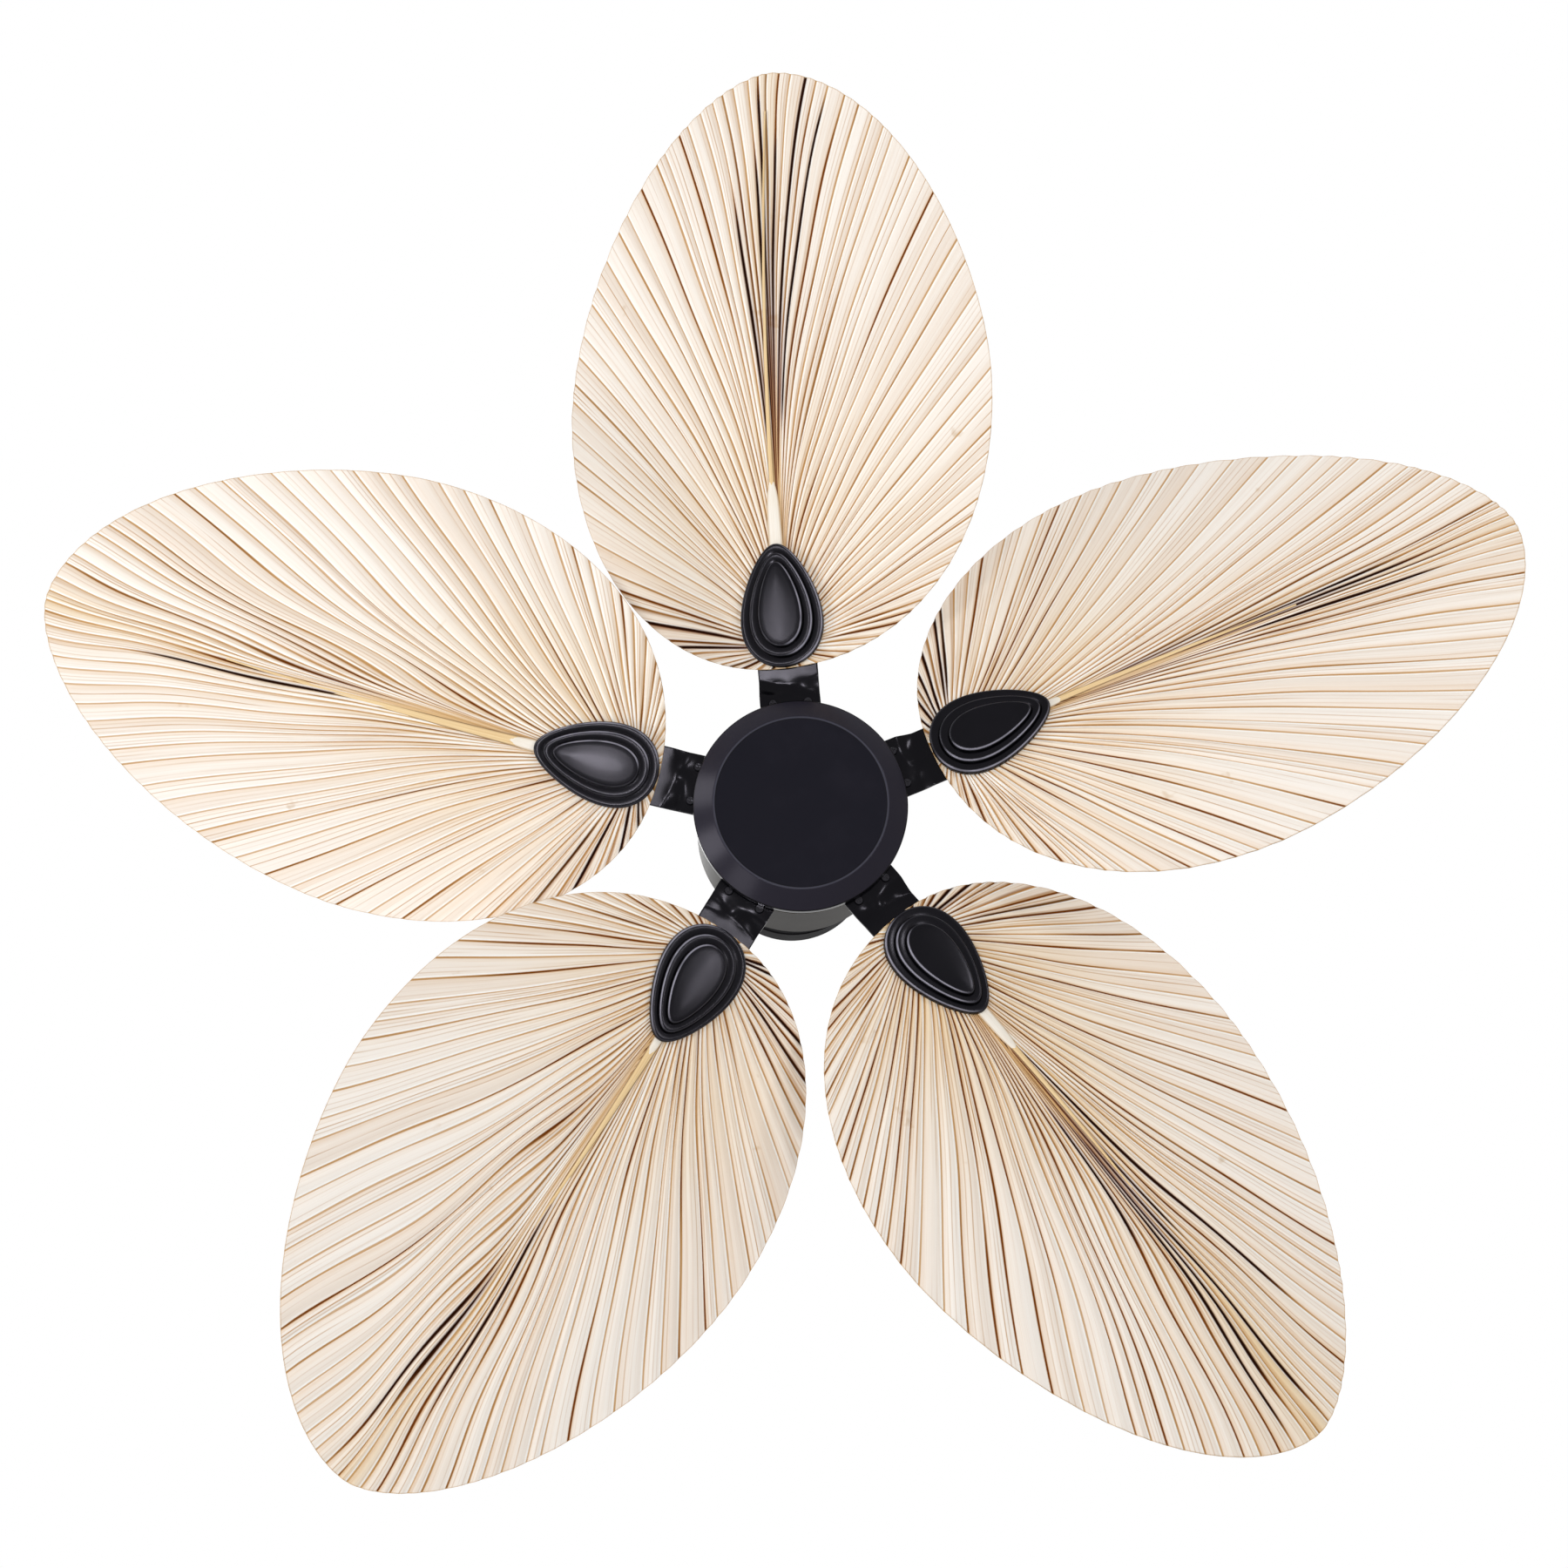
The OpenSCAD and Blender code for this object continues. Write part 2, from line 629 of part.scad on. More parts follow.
module housing_screws() color([0.2, 0.2, 0.21])
    around(lid_screw_count, 45) translate([lid_screw_r, 0, housing_top_z + lid_rim_h])
        screw(small_screw_r, 6, small_head_r, small_head_h);

// ---------- motor ----------

module motor_shaft() color([0.7, 0.71, 0.73]) difference() {
    ring(shaft_r, shaft_bore_r, shaft_bottom_z, shaft_top_z);
    translate([-2 * shaft_r, 0, lead_exit_z]) rotate([0, 90, 0])
        cylinder(r = lead_r + 0.7, h = 4 * shaft_r, $fn = 32);
}

module retaining_rings() color([0.5, 0.5, 0.52]) {
    ring(shaft_r + 3, shaft_r, upper_bearing_z + bearing_h + 0.3,
        upper_bearing_z + bearing_h + 0.3 + retainer_t);
    ring(shaft_r + 3, shaft_r, lower_bearing_z - 0.3 - retainer_t, lower_bearing_z - 0.3);
}

module stator_core() color([0.55, 0.56, 0.58]) difference() {
    ring(stator_r, shaft_r, ring_bottom_z, ring_top_z);
    around(slot_count) translate([winding_r, 0, ring_bottom_z - cut]) {
        cylinder(r = winding_slot_r, h = stator_h + 2 * cut, $fn = 32);
        translate([0, -0.8, 0]) cube([stator_r, 1.6, stator_h + 2 * cut]);
    }
}

module stator_windings() color([0.72, 0.42, 0.18]) {
    for (low = [ring_bottom_z - winding_h, ring_top_z])
        ring(winding_r + winding_w / 2, winding_r - winding_w / 2, low, low + winding_h);
    around(slot_count) translate([winding_r, 0, ring_bottom_z - cut])
        cylinder(r = winding_slot_r - 0.2, h = stator_h + 2 * cut, $fn = 32);
}

module bearing(low) difference() {
    ring(bearing_r, shaft_r + running_gap, low, low + bearing_h);
    for (face = [low - cut, low + bearing_h - cut])
        ring(bearing_r - 2.5, shaft_r + 3, face, face + 2 * cut);
}
module upper_bearing() color([0.75, 0.76, 0.78]) bearing(upper_bearing_z);
module lower_bearing() color([0.75, 0.76, 0.78]) bearing(lower_bearing_z);

module rotor_bolt_holes() around(rotor_bolt_count, 36)
    translate([bolt_circle_r, 0, rotor_bottom_z - 20])
        cylinder(r = rotor_bolt_r + fit_gap, h = rotor_h + 40, $fn = 32);

module rotor_upper_bell() color([0.66, 0.67, 0.69]) difference() {
    union() {
        ring(rotor_r, rotor_r - bell_wall, ring_top_z, rotor_top_z);
        ring(rotor_r - cut, hub_hole_r, rotor_top_z - bell_t, rotor_top_z);
        ring(hub_r, hub_hole_r, rotor_top_z - bell_t, upper_hub_z);
    }
    translate([0, 0, rotor_top_z - bell_t - cut])
        cylinder(r = bearing_r, h = upper_bearing_z + bearing_h - rotor_top_z + bell_t + cut);
    rotor_bolt_holes();
    around(8, 22.5) translate([(hub_r + rotor_r - bell_wall) / 2, 0, rotor_top_z - bell_t - cut])
        cylinder(r = 7, h = bell_t + 2 * cut);
}

module rotor_ring() color([0.5, 0.51, 0.53]) difference() {
    ring(rotor_r, stator_r + air_gap, ring_bottom_z, ring_top_z);
    rotor_bolt_holes();
}

module rotor_lower_bell() color([0.6, 0.61, 0.63]) difference() {
    union() {
        ring(rotor_r, rotor_r - bell_wall, rotor_bottom_z, ring_bottom_z);
        ring(rotor_r - cut, hub_hole_r, rotor_bottom_z, rotor_bottom_z + bell_t);
        ring(hub_r, hub_hole_r, rotor_bottom_z, lower_hub_z);
        ring(riser_out_r, riser_in_r, arm_top_z, rotor_bottom_z + cut);
        ring(blade_flange_r, riser_in_r, arm_top_z, blade_flange_z);
        for (i = [1:blade_count]) at_blade(i)
            translate([riser_out_r, -ear_half_w, arm_top_z])
                cube([ear_out_r - riser_out_r, 2 * ear_half_w, blade_flange_t]);
    }
    translate([0, 0, rotor_bottom_z - 2 * cut])
        cylinder(r = bearing_r, h = lower_bearing_z + bearing_h - rotor_bottom_z + 2 * cut);
    rotor_bolt_holes();
    for (i = [1:blade_count]) at_blade(i) at_arm_screws()
        translate([0, 0, arm_top_z - cut])
            cylinder(r = blade_screw_r + fit_gap, h = blade_flange_t + 2 * cut, $fn = 32);
}

module rotor_bolts() color([0.4, 0.41, 0.43]) around(rotor_bolt_count, 36)
    translate([bolt_circle_r, 0, 0]) {
        translate([0, 0, rotor_bottom_z - 2.5]) cylinder(r = rotor_bolt_r, h = rotor_h + 3, $fn = 32);
        translate([0, 0, rotor_top_z]) cylinder(r = 3.6, h = 3, $fn = 6);
        translate([0, 0, rotor_bottom_z - 2.2]) cylinder(r = 3.6, h = 2.2, $fn = 6);
    }

// One lead as straight runs with a ball at each bend
module lead(points) for (k = [1:len(points) - 1]) {
    run = points[k] - points[k - 1];
    translate(points[k - 1]) rotate([0, acos(run[2] / norm(run)), atan2(run[1], run[0])])
        cylinder(r = lead_r, h = norm(run), $fn = 32);
    if (k < len(points) - 1) translate(points[k]) sphere(r = lead_r, $fn = 32);
}

module motor_leads() color([0.85, 0.2, 0.15]) for (side = [-1, 1]) lead([
    [side * lead_rod_x, 0, rod_top_z],
    [side * lead_rod_x, 0, coupling_pin_z - coupling_pin_r - 1],
    [side * lead_shaft_x, 0, shaft_top_z + 0.5],
    [side * lead_shaft_x, 0, lead_exit_z],
    [side * lead_winding_x, 0, lead_exit_z],
    [side * lead_winding_x, 0, ring_top_z + winding_h]
]);

module lead_connector() color([0.9, 0.88, 0.8])
    translate([-connector_l / 2, -connector_w / 2, rod_top_z]) cube([connector_l, connector_w, connector_h]);

// ---------- reverse switch ----------

module reverse_switch() color([0.12, 0.12, 0.13]) rotate([0, 0, switch_angle]) difference() {
    translate([switch_face_x - switch_depth, -switch_half_w, switch_z - switch_half_h])
        cube([switch_depth, 2 * switch_half_w, 2 * switch_half_h]);
    translate([switch_face_x - 5, -slider_w / 2 - slider_side_gap, slider_cut_z])
        cube([8, slider_w + 2 * slider_side_gap, slider_cut_h]);
}

module reverse_slider() color([0.8, 0.8, 0.8]) rotate([0, 0, switch_angle])
    translate([switch_face_x - 4.6, -slider_w / 2, slider_rest_z - slider_h / 2])
        cube([housing_r + slider_proud - switch_face_x + 4.6, slider_w, slider_h]);

// ---------- under the rotor ----------

module switch_plate() color([0.6, 0.61, 0.63]) difference() {
    ring(cap_r - cap_t - 5.5, shaft_r, plate_bottom_z, plate_top_z);
    around(4, 45) translate([cap_r / 2, 0, plate_bottom_z - cut])
        cylinder(r = 6, h = plate_t + 2 * cut);
}

module shaft_nut() color([0.7, 0.7, 0.72]) difference() {
    translate([0, 0, plate_bottom_z - 6]) cylinder(r = shaft_r + 6, h = 6, $fn = 6);
    translate([0, 0, plate_bottom_z - 6 - cut]) cylinder(r = shaft_r, h = 6 + 2 * cut);
}

module capacitor() color([0.15, 0.15, 0.16]) difference() {
    translate([capacitor_x - capacitor_w / 2, -capacitor_l / 2, plate_bottom_z - capacitor_h])
        cube([capacitor_w, capacitor_l, capacitor_h]);
    for (side = [-1, 1])
        translate([capacitor_x + side * 6, 0, plate_bottom_z - capacitor_h - cut])
            cylinder(r = 1.5, h = 3, $fn = 24);
}

module cap_clips() color([0.7, 0.7, 0.72]) around(clip_count, 60) {
    translate([clip_out_x - 15, -clip_half_w, plate_bottom_z - clip_t])
        cube([15, 2 * clip_half_w, clip_t]);
    translate([clip_out_x - clip_t, -clip_half_w, plate_bottom_z - clip_t])
        cube([clip_t, 2 * clip_half_w, cap_top_z - bead_t - 0.2 - plate_bottom_z + clip_t]);
}

// The cap's line at a depth inside its sheet
function cap_line(inset) = [
    [cap_r - inset, cap_top_z],
    [cap_r - inset, cap_rim_z + inset * 0.4],
    [cap_face_r - inset * 0.4, cap_bottom_z + inset],
    [0, cap_bottom_z + inset]
];

module bottom_cap() color([0.08, 0.08, 0.1]) {
    shell(cap_line(0), cap_line(cap_t));
    ring(cap_r - cap_t / 2, cap_r - cap_t - bead_w, cap_top_z - bead_t, cap_top_z);
}

// ---------- blades ----------

// A point on an arm's flat inner part, level with the rotor's flange
function arm_flat(x, y, up) = [x, y, (arm_top_z + arm_bottom_z) / 2 + up];

// A point on an arm's outer part, in the plane of the leaf at height w over it
function leaf_to_fan(x, y, w) =
    let (turned_y = y * cos(pitch) + w * sin(pitch), lift = -y * sin(pitch) + w * cos(pitch))
    [x * cos(droop) + lift * sin(droop), turned_y, blade_z - x * sin(droop) + lift * cos(droop)];

function smooth(t) = let (c = max(0, min(1, t))) c * c * (3 - 2 * c);

// The arm bends smoothly from its flat part into its pitched part
function arm_point(x, y, up) =
    let (f = smooth((x - arm_bend_in_r) / (arm_bend_out_r - arm_bend_in_r)))
    arm_flat(x, y, up) * (1 - f) + leaf_to_fan(x, y, arm_mid_w + up) * f;

function arm_half(x) = x <= arm_taper_r ? arm_w / 2
    : arm_w / 2 * sqrt(max(0.04, 1 - pow((x - arm_taper_r) / (arm_out_r - arm_taper_r), 2)));

arm_stations = concat(
    [arm_in_r],
    [for (k = [0:arm_steps_bend]) arm_bend_in_r + (arm_bend_out_r - arm_bend_in_r) * k / arm_steps_bend],
    [for (k = [0:arm_steps_end])
        arm_taper_r + (arm_out_r - arm_taper_r) * sin(90 * k / arm_steps_end)]
);

module arm_plate() {
    last = len(arm_stations) - 1;
    points = [for (x = arm_stations, corner = [[-1, -1], [1, -1], [1, 1], [-1, 1]])
        arm_point(x, corner[0] * arm_half(x), corner[1] * arm_t / 2)];
    sides = [for (s = [0:last - 1], c = [0:3], half = [0, 1])
        let (a = 4 * s + c, b = 4 * s + (c + 1) % 4)
        half == 0 ? [a, a + 4, b + 4] : [a, b + 4, b]];
    ends = [[0, 1, 2], [0, 2, 3],
        [4 * last + 2, 4 * last + 1, 4 * last], [4 * last + 3, 4 * last + 2, 4 * last]];
    polyhedron(points, concat(sides, ends));
}

module blade_arm(i) color([0.07, 0.07, 0.08]) difference() {
    at_blade(i) arm_plate();
    at_blade(i) at_arm_screws() translate([0, 0, arm_bottom_z - cut])
        cylinder(r = blade_screw_r + 0.3, h = arm_t + 2 * cut, $fn = 32);
    on_leaf(i) at_leaf_screws() translate([0, 0, leaf_room - cut])
        cylinder(r = small_screw_r + 0.2, h = arm_t + 2 * cut, $fn = 32);
}

module arm_screws() color([0.2, 0.2, 0.21])
    for (i = [1:blade_count]) at_blade(i) at_arm_screws()
        translate([0, 0, arm_bottom_z]) mirror([0, 0, 1])
            screw(blade_screw_r, arm_t + blade_flange_t + 1, blade_head_r, blade_head_h);

module leaf_screws() color([0.2, 0.2, 0.21])
    for (i = [1:blade_count]) on_leaf(i) at_leaf_screws()
        translate([0, 0, leaf_room + arm_t])
            screw(small_screw_r, leaf_screw_len, small_head_r, small_head_h);

// How far the leaf's middle line has leaned sideways at distance x from the fan's axis
function lean(x) = leaf_lean * pow(max(0, (x - hub_point_r) / (leaf_tip_r - hub_point_r)), 2);

// A leaf's edge in the direction a, from -180 at the root through 0 at the tip
function leaf_edge(a) =
    let (reach = abs(a) < 90 ? leaf_tip_r - leaf_wide_r : leaf_wide_r - leaf_root_r,
        half = a > 0 ? leaf_lead_w : leaf_trail_w,
        power = abs(a) < 90 ? tip_power : root_power,
        x = leaf_wide_r + sign(cos(a)) * reach * pow(abs(cos(a)), 2 / power))
    [x, sign(a) * half * pow(abs(sin(a)), 2 / power) + lean(x)];

// Where the pleat line in the direction a leaves the midrib
function pleat_start(a) =
    let (share = abs(a) < midrib_span ? cos(90 * a / midrib_span) : 0,
        x = hub_point_r + midrib_len * share + midrib_r * cos(a))
    [x, midrib_r * sin(a) + lean(x)];

// A point on pleat line k of a leaf, a share of the way from the midrib to the edge
function pleat_point(k, share, up) =
    let (a = -180 + 360 * (k + 0.5) / rays, start = pleat_start(a), end = leaf_edge(a),
        here = start + (end - start) * share,
        depth = pleat_depth * min(1, norm(here - start) / pleat_growth))
    [here[0], here[1], (k % 2 == 0 ? depth : -depth) + up];

module pleated_leaf() {
    layer = rings * rays;
    points = [for (up = [leaf_t / 2, -leaf_t / 2], share = ring_shares, k = [0:rays - 1])
        pleat_point(k, share, up)];
    sheets = [for (r = [0:rings - 2], k = [0:rays - 1])
        let (n = (k + 1) % rays, a = r * rays + k, b = r * rays + n)
        each [[a, b + rays, a + rays], [a, b, b + rays],
            [layer + a, layer + a + rays, layer + b + rays], [layer + a, layer + b + rays, layer + b]]];
    edge = (rings - 1) * rays;
    rim = [for (k = [0:rays - 1])
        let (a = edge + k, b = edge + (k + 1) % rays)
        each [[a, b, layer + b], [a, layer + b, layer + a]]];
    rib = [for (k = [0:rays / 2 - 2])
        let (a = k, b = k + 1, c = rays - 2 - k, d = rays - 1 - k)
        each [[a, c, b], [a, d, c], [layer + a, layer + b, layer + c], [layer + a, layer + c, layer + d]]];
    polyhedron(points, concat(sheets, rim, rib));
}

module leaf_blade(i) color([0.93, 0.87, 0.77]) on_leaf(i) difference() {
    pleated_leaf();
    at_leaf_screws() translate([0, 0, -10]) cylinder(r = leaf_hole_r, h = 20, $fn = 24);
}

// The medallion's outline, drawn in by an inset
module egg(inset) polygon([for (k = [0:egg_steps - 1])
    let (t = 360 * k / egg_steps)
    [(medallion_len / 2 - inset) * cos(t),
     (medallion_w / 2 - inset) * sin(t) * (1 - egg_taper * cos(t)) / egg_peak]]);

module medallion(i) color([0.09, 0.09, 0.1]) on_leaf(i) difference() {
    union() {
        translate([medallion_r, 0, -leaf_room - medallion_h]) {
            linear_extrude(medallion_h) egg(2 * medallion_step);
            translate([0, 0, medallion_h * 0.25]) linear_extrude(medallion_h * 0.75) egg(medallion_step);
            translate([0, 0, medallion_h * 0.5]) linear_extrude(medallion_h * 0.5) egg(0);
        }
        at_leaf_screws() translate([0, 0, -leaf_room - cut])
            cylinder(r = boss_r, h = 2 * leaf_room + cut, $fn = 32);
    }
    difference() {
        translate([medallion_r, 0, -leaf_room - medallion_h * 0.3])
            linear_extrude(medallion_h * 0.3 + cut) egg(3);
        at_leaf_screws() translate([0, 0, -medallion_h]) cylinder(r = boss_r, h = 2 * medallion_h, $fn = 32);
    }
    at_leaf_screws() translate([0, 0, leaf_room + arm_t - leaf_screw_len - 0.3])
        cylinder(r = boss_bore_r, h = 2 * leaf_screw_len, $fn = 32);
}

ceiling_bracket();
remote_receiver();
canopy();
canopy_screws();
ball_seat_liner();
hanger_ball();
ball_cross_pin();
ball_set_screw();
downrod();
motor_coupling();
coupling_pin();
coupling_hairpin();
coupling_set_screws();
coupling_cover();
coupling_flange_screws();
motor_housing();
housing_lid();
housing_screws();
motor_shaft();
retaining_rings();
stator_core();
stator_windings();
motor_leads();
lead_connector();
reverse_switch();
reverse_slider();
switch_plate();
shaft_nut();
capacitor();
cap_clips();
bottom_cap();
upper_bearing();
lower_bearing();
rotor_upper_bell();
rotor_ring();
rotor_lower_bell();
rotor_bolts();
arm_screws();
leaf_screws();
for (i = [1:blade_count]) {
    blade_arm(i);
    leaf_blade(i);
    medallion(i);
}
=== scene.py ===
"""Looks of a ceiling fan with five pleated palm leaf blades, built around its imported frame.

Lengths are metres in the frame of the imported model: +Z is up, the ceiling is at z = 0 and the
fan hangs below it, with its first blade along +X. The pieces that show are modelled here with
their real edges, folds and pleats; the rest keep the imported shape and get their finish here.
"""

import functools
import json
import logging
import math
from dataclasses import dataclass
from enum import Enum
from typing import Callable

import bpy
import numpy as np
from mathutils import Matrix, Vector


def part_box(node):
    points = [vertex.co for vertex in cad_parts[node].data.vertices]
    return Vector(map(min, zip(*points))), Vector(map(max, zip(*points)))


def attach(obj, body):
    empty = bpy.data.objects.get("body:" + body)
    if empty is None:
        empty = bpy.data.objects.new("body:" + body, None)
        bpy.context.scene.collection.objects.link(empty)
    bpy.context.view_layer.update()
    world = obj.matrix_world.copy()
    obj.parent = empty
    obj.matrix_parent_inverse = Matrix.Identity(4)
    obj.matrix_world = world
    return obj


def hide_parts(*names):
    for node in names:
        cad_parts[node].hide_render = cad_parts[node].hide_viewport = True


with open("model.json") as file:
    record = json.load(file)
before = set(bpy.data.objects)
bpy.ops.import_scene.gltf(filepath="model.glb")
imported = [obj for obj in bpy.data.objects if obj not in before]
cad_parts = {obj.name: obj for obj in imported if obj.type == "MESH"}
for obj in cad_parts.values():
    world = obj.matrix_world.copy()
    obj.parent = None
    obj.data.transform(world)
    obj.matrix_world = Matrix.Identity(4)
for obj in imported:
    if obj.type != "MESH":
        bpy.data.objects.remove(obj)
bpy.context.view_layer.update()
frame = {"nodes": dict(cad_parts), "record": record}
DRUM_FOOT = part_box("motor_housing")[0].z

MM = 0.001
FULL_TURN = 2 * math.pi

log = logging.getLogger("palm_fan")

Pair = tuple[float, float]
Triple = tuple[float, float, float]
Colour = Triple
Profile = list[Pair]
Piece = bpy.types.Object
Material = bpy.types.Material
Socket = bpy.types.NodeSocket

COOL_GLOSS: Colour = (0.90, 0.86, 1.0)
WARM_GLOSS: Colour = (1.0, 0.93, 0.86)


class Body(Enum):
    """The bodies of the fan that the new pieces ride on."""

    CEILING = "ceiling_mount"
    FRAME = "fan_frame"
    ROTOR = "rotor"


# ---------- small mesh helpers ----------

SAME_PLACE = 1e-5
NEARLY_STRAIGHT = math.radians(86)
MOST_OF_A_SIDE = 0.45
SHELL_CREASE = 35


def nothing_selected() -> None:
    """Leaves edit mode and deselects every object."""
    if bpy.context.object is not None and bpy.context.object.mode != "OBJECT":
        bpy.ops.object.mode_set(mode="OBJECT")
    bpy.ops.object.select_all(action="DESELECT")


def take(piece: Piece) -> None:
    """Makes one piece the only selected and active object.

    Args:
        piece: The piece.
    """
    nothing_selected()
    piece.select_set(True)
    bpy.context.view_layer.objects.active = piece


def newest(name: str) -> Piece:
    """Names the object that an operator has just added, and its mesh.

    Args:
        name: The piece's name.
    Returns:
        The new object.
    """
    piece = bpy.context.object
    piece.name = name
    piece.data.name = name
    return piece


def pick_edges(piece: Piece, test: Callable[[Vector], bool]) -> None:
    """Selects the edges of a piece whose two ends pass a test.

    Args:
        piece: The piece, in edit mode on return.
        test: Says of an end's place whether it passes.
    """
    bpy.ops.object.mode_set(mode="EDIT")
    bpy.ops.mesh.select_mode(type="EDGE")
    bpy.ops.mesh.select_all(action="DESELECT")
    bpy.ops.object.mode_set(mode="OBJECT")
    passed = [test(vertex.co) for vertex in piece.data.vertices]
    for edge in piece.data.edges:
        edge.select = all(passed[end] for end in edge.vertices)
    bpy.ops.object.mode_set(mode="EDIT")


def close_up(piece: Piece, gap: float = 1e-6) -> None:
    """Merges doubled vertices and turns all faces outwards.

    Args:
        piece: The piece.
        gap: Distance under which two vertices are the same.
    """
    take(piece)
    bpy.ops.object.mode_set(mode="EDIT")
    bpy.ops.mesh.select_all(action="SELECT")
    bpy.ops.mesh.remove_doubles(threshold=gap)
    bpy.ops.mesh.normals_make_consistent(inside=False)
    bpy.ops.object.mode_set(mode="OBJECT")


def apply_modifier(piece: Piece, kind: str, **settings: object) -> None:
    """Adds a modifier and applies it.

    Args:
        piece: The piece.
        kind: The modifier's type.
        settings: The modifier's settings.
    """
    take(piece)
    modifier = piece.modifiers.new(kind.lower(), kind)
    for name, value in settings.items():
        setattr(modifier, name, value)
    bpy.ops.object.modifier_apply(modifier=modifier.name)


def smooth(piece: Piece, degrees: float) -> None:
    """Shades a piece smooth, except over edges sharper than an angle."""
    take(piece)
    bpy.ops.object.shade_smooth_by_angle(angle=math.radians(degrees))


def copy_to(piece: Piece, name: str, matrix: Matrix) -> Piece:
    """Copies a piece with a mesh of its own and moves that mesh.

    Args:
        piece: The piece to copy.
        name: The copy's name.
        matrix: Where the copy's mesh goes.
    Returns:
        The copy.
    """
    twin = piece.copy()
    twin.data = piece.data.copy()
    twin.name = name
    twin.data.name = name
    bpy.context.scene.collection.objects.link(twin)
    twin.data.transform(matrix)
    return twin


def quarter_line(start: Pair, end: Pair, steps: int) -> Profile:
    """A quarter of an ellipse from one point to another, which leaves the first along Z.

    Args:
        start: Radius and height of the first point.
        end: Radius and height of the last point.
        steps: Number of straight pieces.
    Returns:
        The line's points.
    """
    turns = (0.5 * math.pi * step / steps for step in range(steps + 1))
    return [(start[0] + (end[0] - start[0]) * (1 - math.cos(turn)),
             start[1] + (end[1] - start[1]) * math.sin(turn)) for turn in turns]


def rounded(profile: Profile, radius: float, steps: int) -> Profile:
    """Rounds the inner corners of a profile.

    Args:
        profile: The profile's points.
        radius: Radius of the rounding, cut down where the sides are short.
        steps: Number of straight pieces on each corner.
    Returns:
        The rounded profile.
    """
    line = [profile[0]]
    for before, corner, after in zip(profile, profile[1:], profile[2:]):
        here = Vector(corner)
        back, ahead = Vector(before) - here, Vector(after) - here
        half = back.angle(ahead) / 2
        if half > NEARLY_STRAIGHT:
            line.append(corner)
            continue
        reach = min(radius / math.tan(half), MOST_OF_A_SIDE * back.length,
                    MOST_OF_A_SIDE * ahead.length)
        first, last = here + back.normalized() * reach, here + ahead.normalized() * reach
        for step in range(steps + 1):
            share = step / steps
            bend = (1 - share) ** 2 * first + 2 * share * (1 - share) * here + share ** 2 * last
            line.append((bend.x, bend.y))
    line.append(profile[-1])
    return line


def turned(name: str, profile: Profile, segments: int, closed: bool = False) -> Piece:
    """Turns a profile about the fan's axis: a ring is drawn, then extruded along the profile.

    Args:
        name: The piece's name.
        profile: Radius and height of each point; a last radius of zero closes the middle.
        segments: Number of sides.
        closed: Whether the last ring is bridged to the first, as on a wall with two faces.
    Returns:
        The turned piece, faces outwards.
    """
    nothing_selected()
    radius, height = profile[0]
    bpy.ops.mesh.primitive_circle_add(vertices=segments, radius=radius, location=(0, 0, height))
    piece = newest(name)
    bpy.ops.object.transform_apply(location=True, rotation=True, scale=True)
    bpy.ops.object.mode_set(mode="EDIT")
    bpy.ops.mesh.select_mode(type="EDGE")
    bpy.ops.mesh.select_all(action="SELECT")
    for new_radius, new_height in profile[1:]:
        if new_radius <= 0:
            bpy.ops.mesh.edge_face_add()
            bpy.ops.mesh.poke()
            break
        bpy.ops.mesh.extrude_edges_move(
            TRANSFORM_OT_translate={"value": (0, 0, new_height - height)})
        scale = new_radius / radius
        bpy.ops.transform.resize(value=(scale, scale, 1), center_override=(0, 0, new_height))
        radius, height = new_radius, new_height
    if closed:
        rings = (profile[0], profile[-1])
        pick_edges(piece, lambda place: any(
            abs(math.hypot(place.x, place.y) - ring[0]) < SAME_PLACE
            and abs(place.z - ring[1]) < SAME_PLACE for ring in rings))
        bpy.ops.mesh.bridge_edge_loops()
    bpy.ops.object.mode_set(mode="OBJECT")
    close_up(piece)
    return piece


def shell(name: str, profile: Profile, segments: int, sheet: float) -> Piece:
    """Turns a profile about the fan's axis and gives it the thickness of sheet steel.

    Args:
        name: The piece's name.
        profile: Radius and height of each point of the outer face.
        segments: Number of sides.
        sheet: Thickness of the steel, inwards.
    Returns:
        The shell.
    """
    piece = turned(name, profile, segments)
    apply_modifier(piece, "SOLIDIFY", thickness=sheet, offset=-1.0)
    smooth(piece, SHELL_CREASE)
    return piece


def write_map(mesh: bpy.types.Mesh, name: str, first: np.ndarray, second: np.ndarray,
              layer: bpy.types.MeshUVLoopLayer | None = None) -> None:
    """Writes two numbers of each vertex as a map of the mesh.

    Args:
        mesh: The mesh.
        name: The map's name.
        first: The first number of each vertex.
        second: The second number of each vertex.
        layer: A map of the mesh that is taken over in place of a new one.
    """
    layer = layer or mesh.uv_layers.new(name=name)
    layer.name = name
    corners = np.empty(len(mesh.loops), dtype=np.int32)
    mesh.loops.foreach_get("vertex_index", corners)
    layer.data.foreach_set("uv", np.stack([first[corners], second[corners]], 1).ravel())


def bell(distance: np.ndarray, reach: float) -> np.ndarray:
    """1 at no distance, falling softly to nothing over about twice a reach."""
    return np.exp(-(distance / reach) ** 2)


def ramp(value: np.ndarray, start: float | np.ndarray, reach: float) -> np.ndarray:
    """0 up to a start, rising straight to 1 over a reach."""
    return np.clip((value - start) / reach, 0, 1)


# ---------- finishes ----------


def linear(red: int, green: int, blue: int) -> Colour:
    """The scene colour of a screen colour given in 0 to 255."""
    shares = (value / 255 for value in (red, green, blue))
    return tuple(share / 12.92 if share <= 0.04045 else ((share + 0.055) / 1.055) ** 2.4
                 for share in shares)


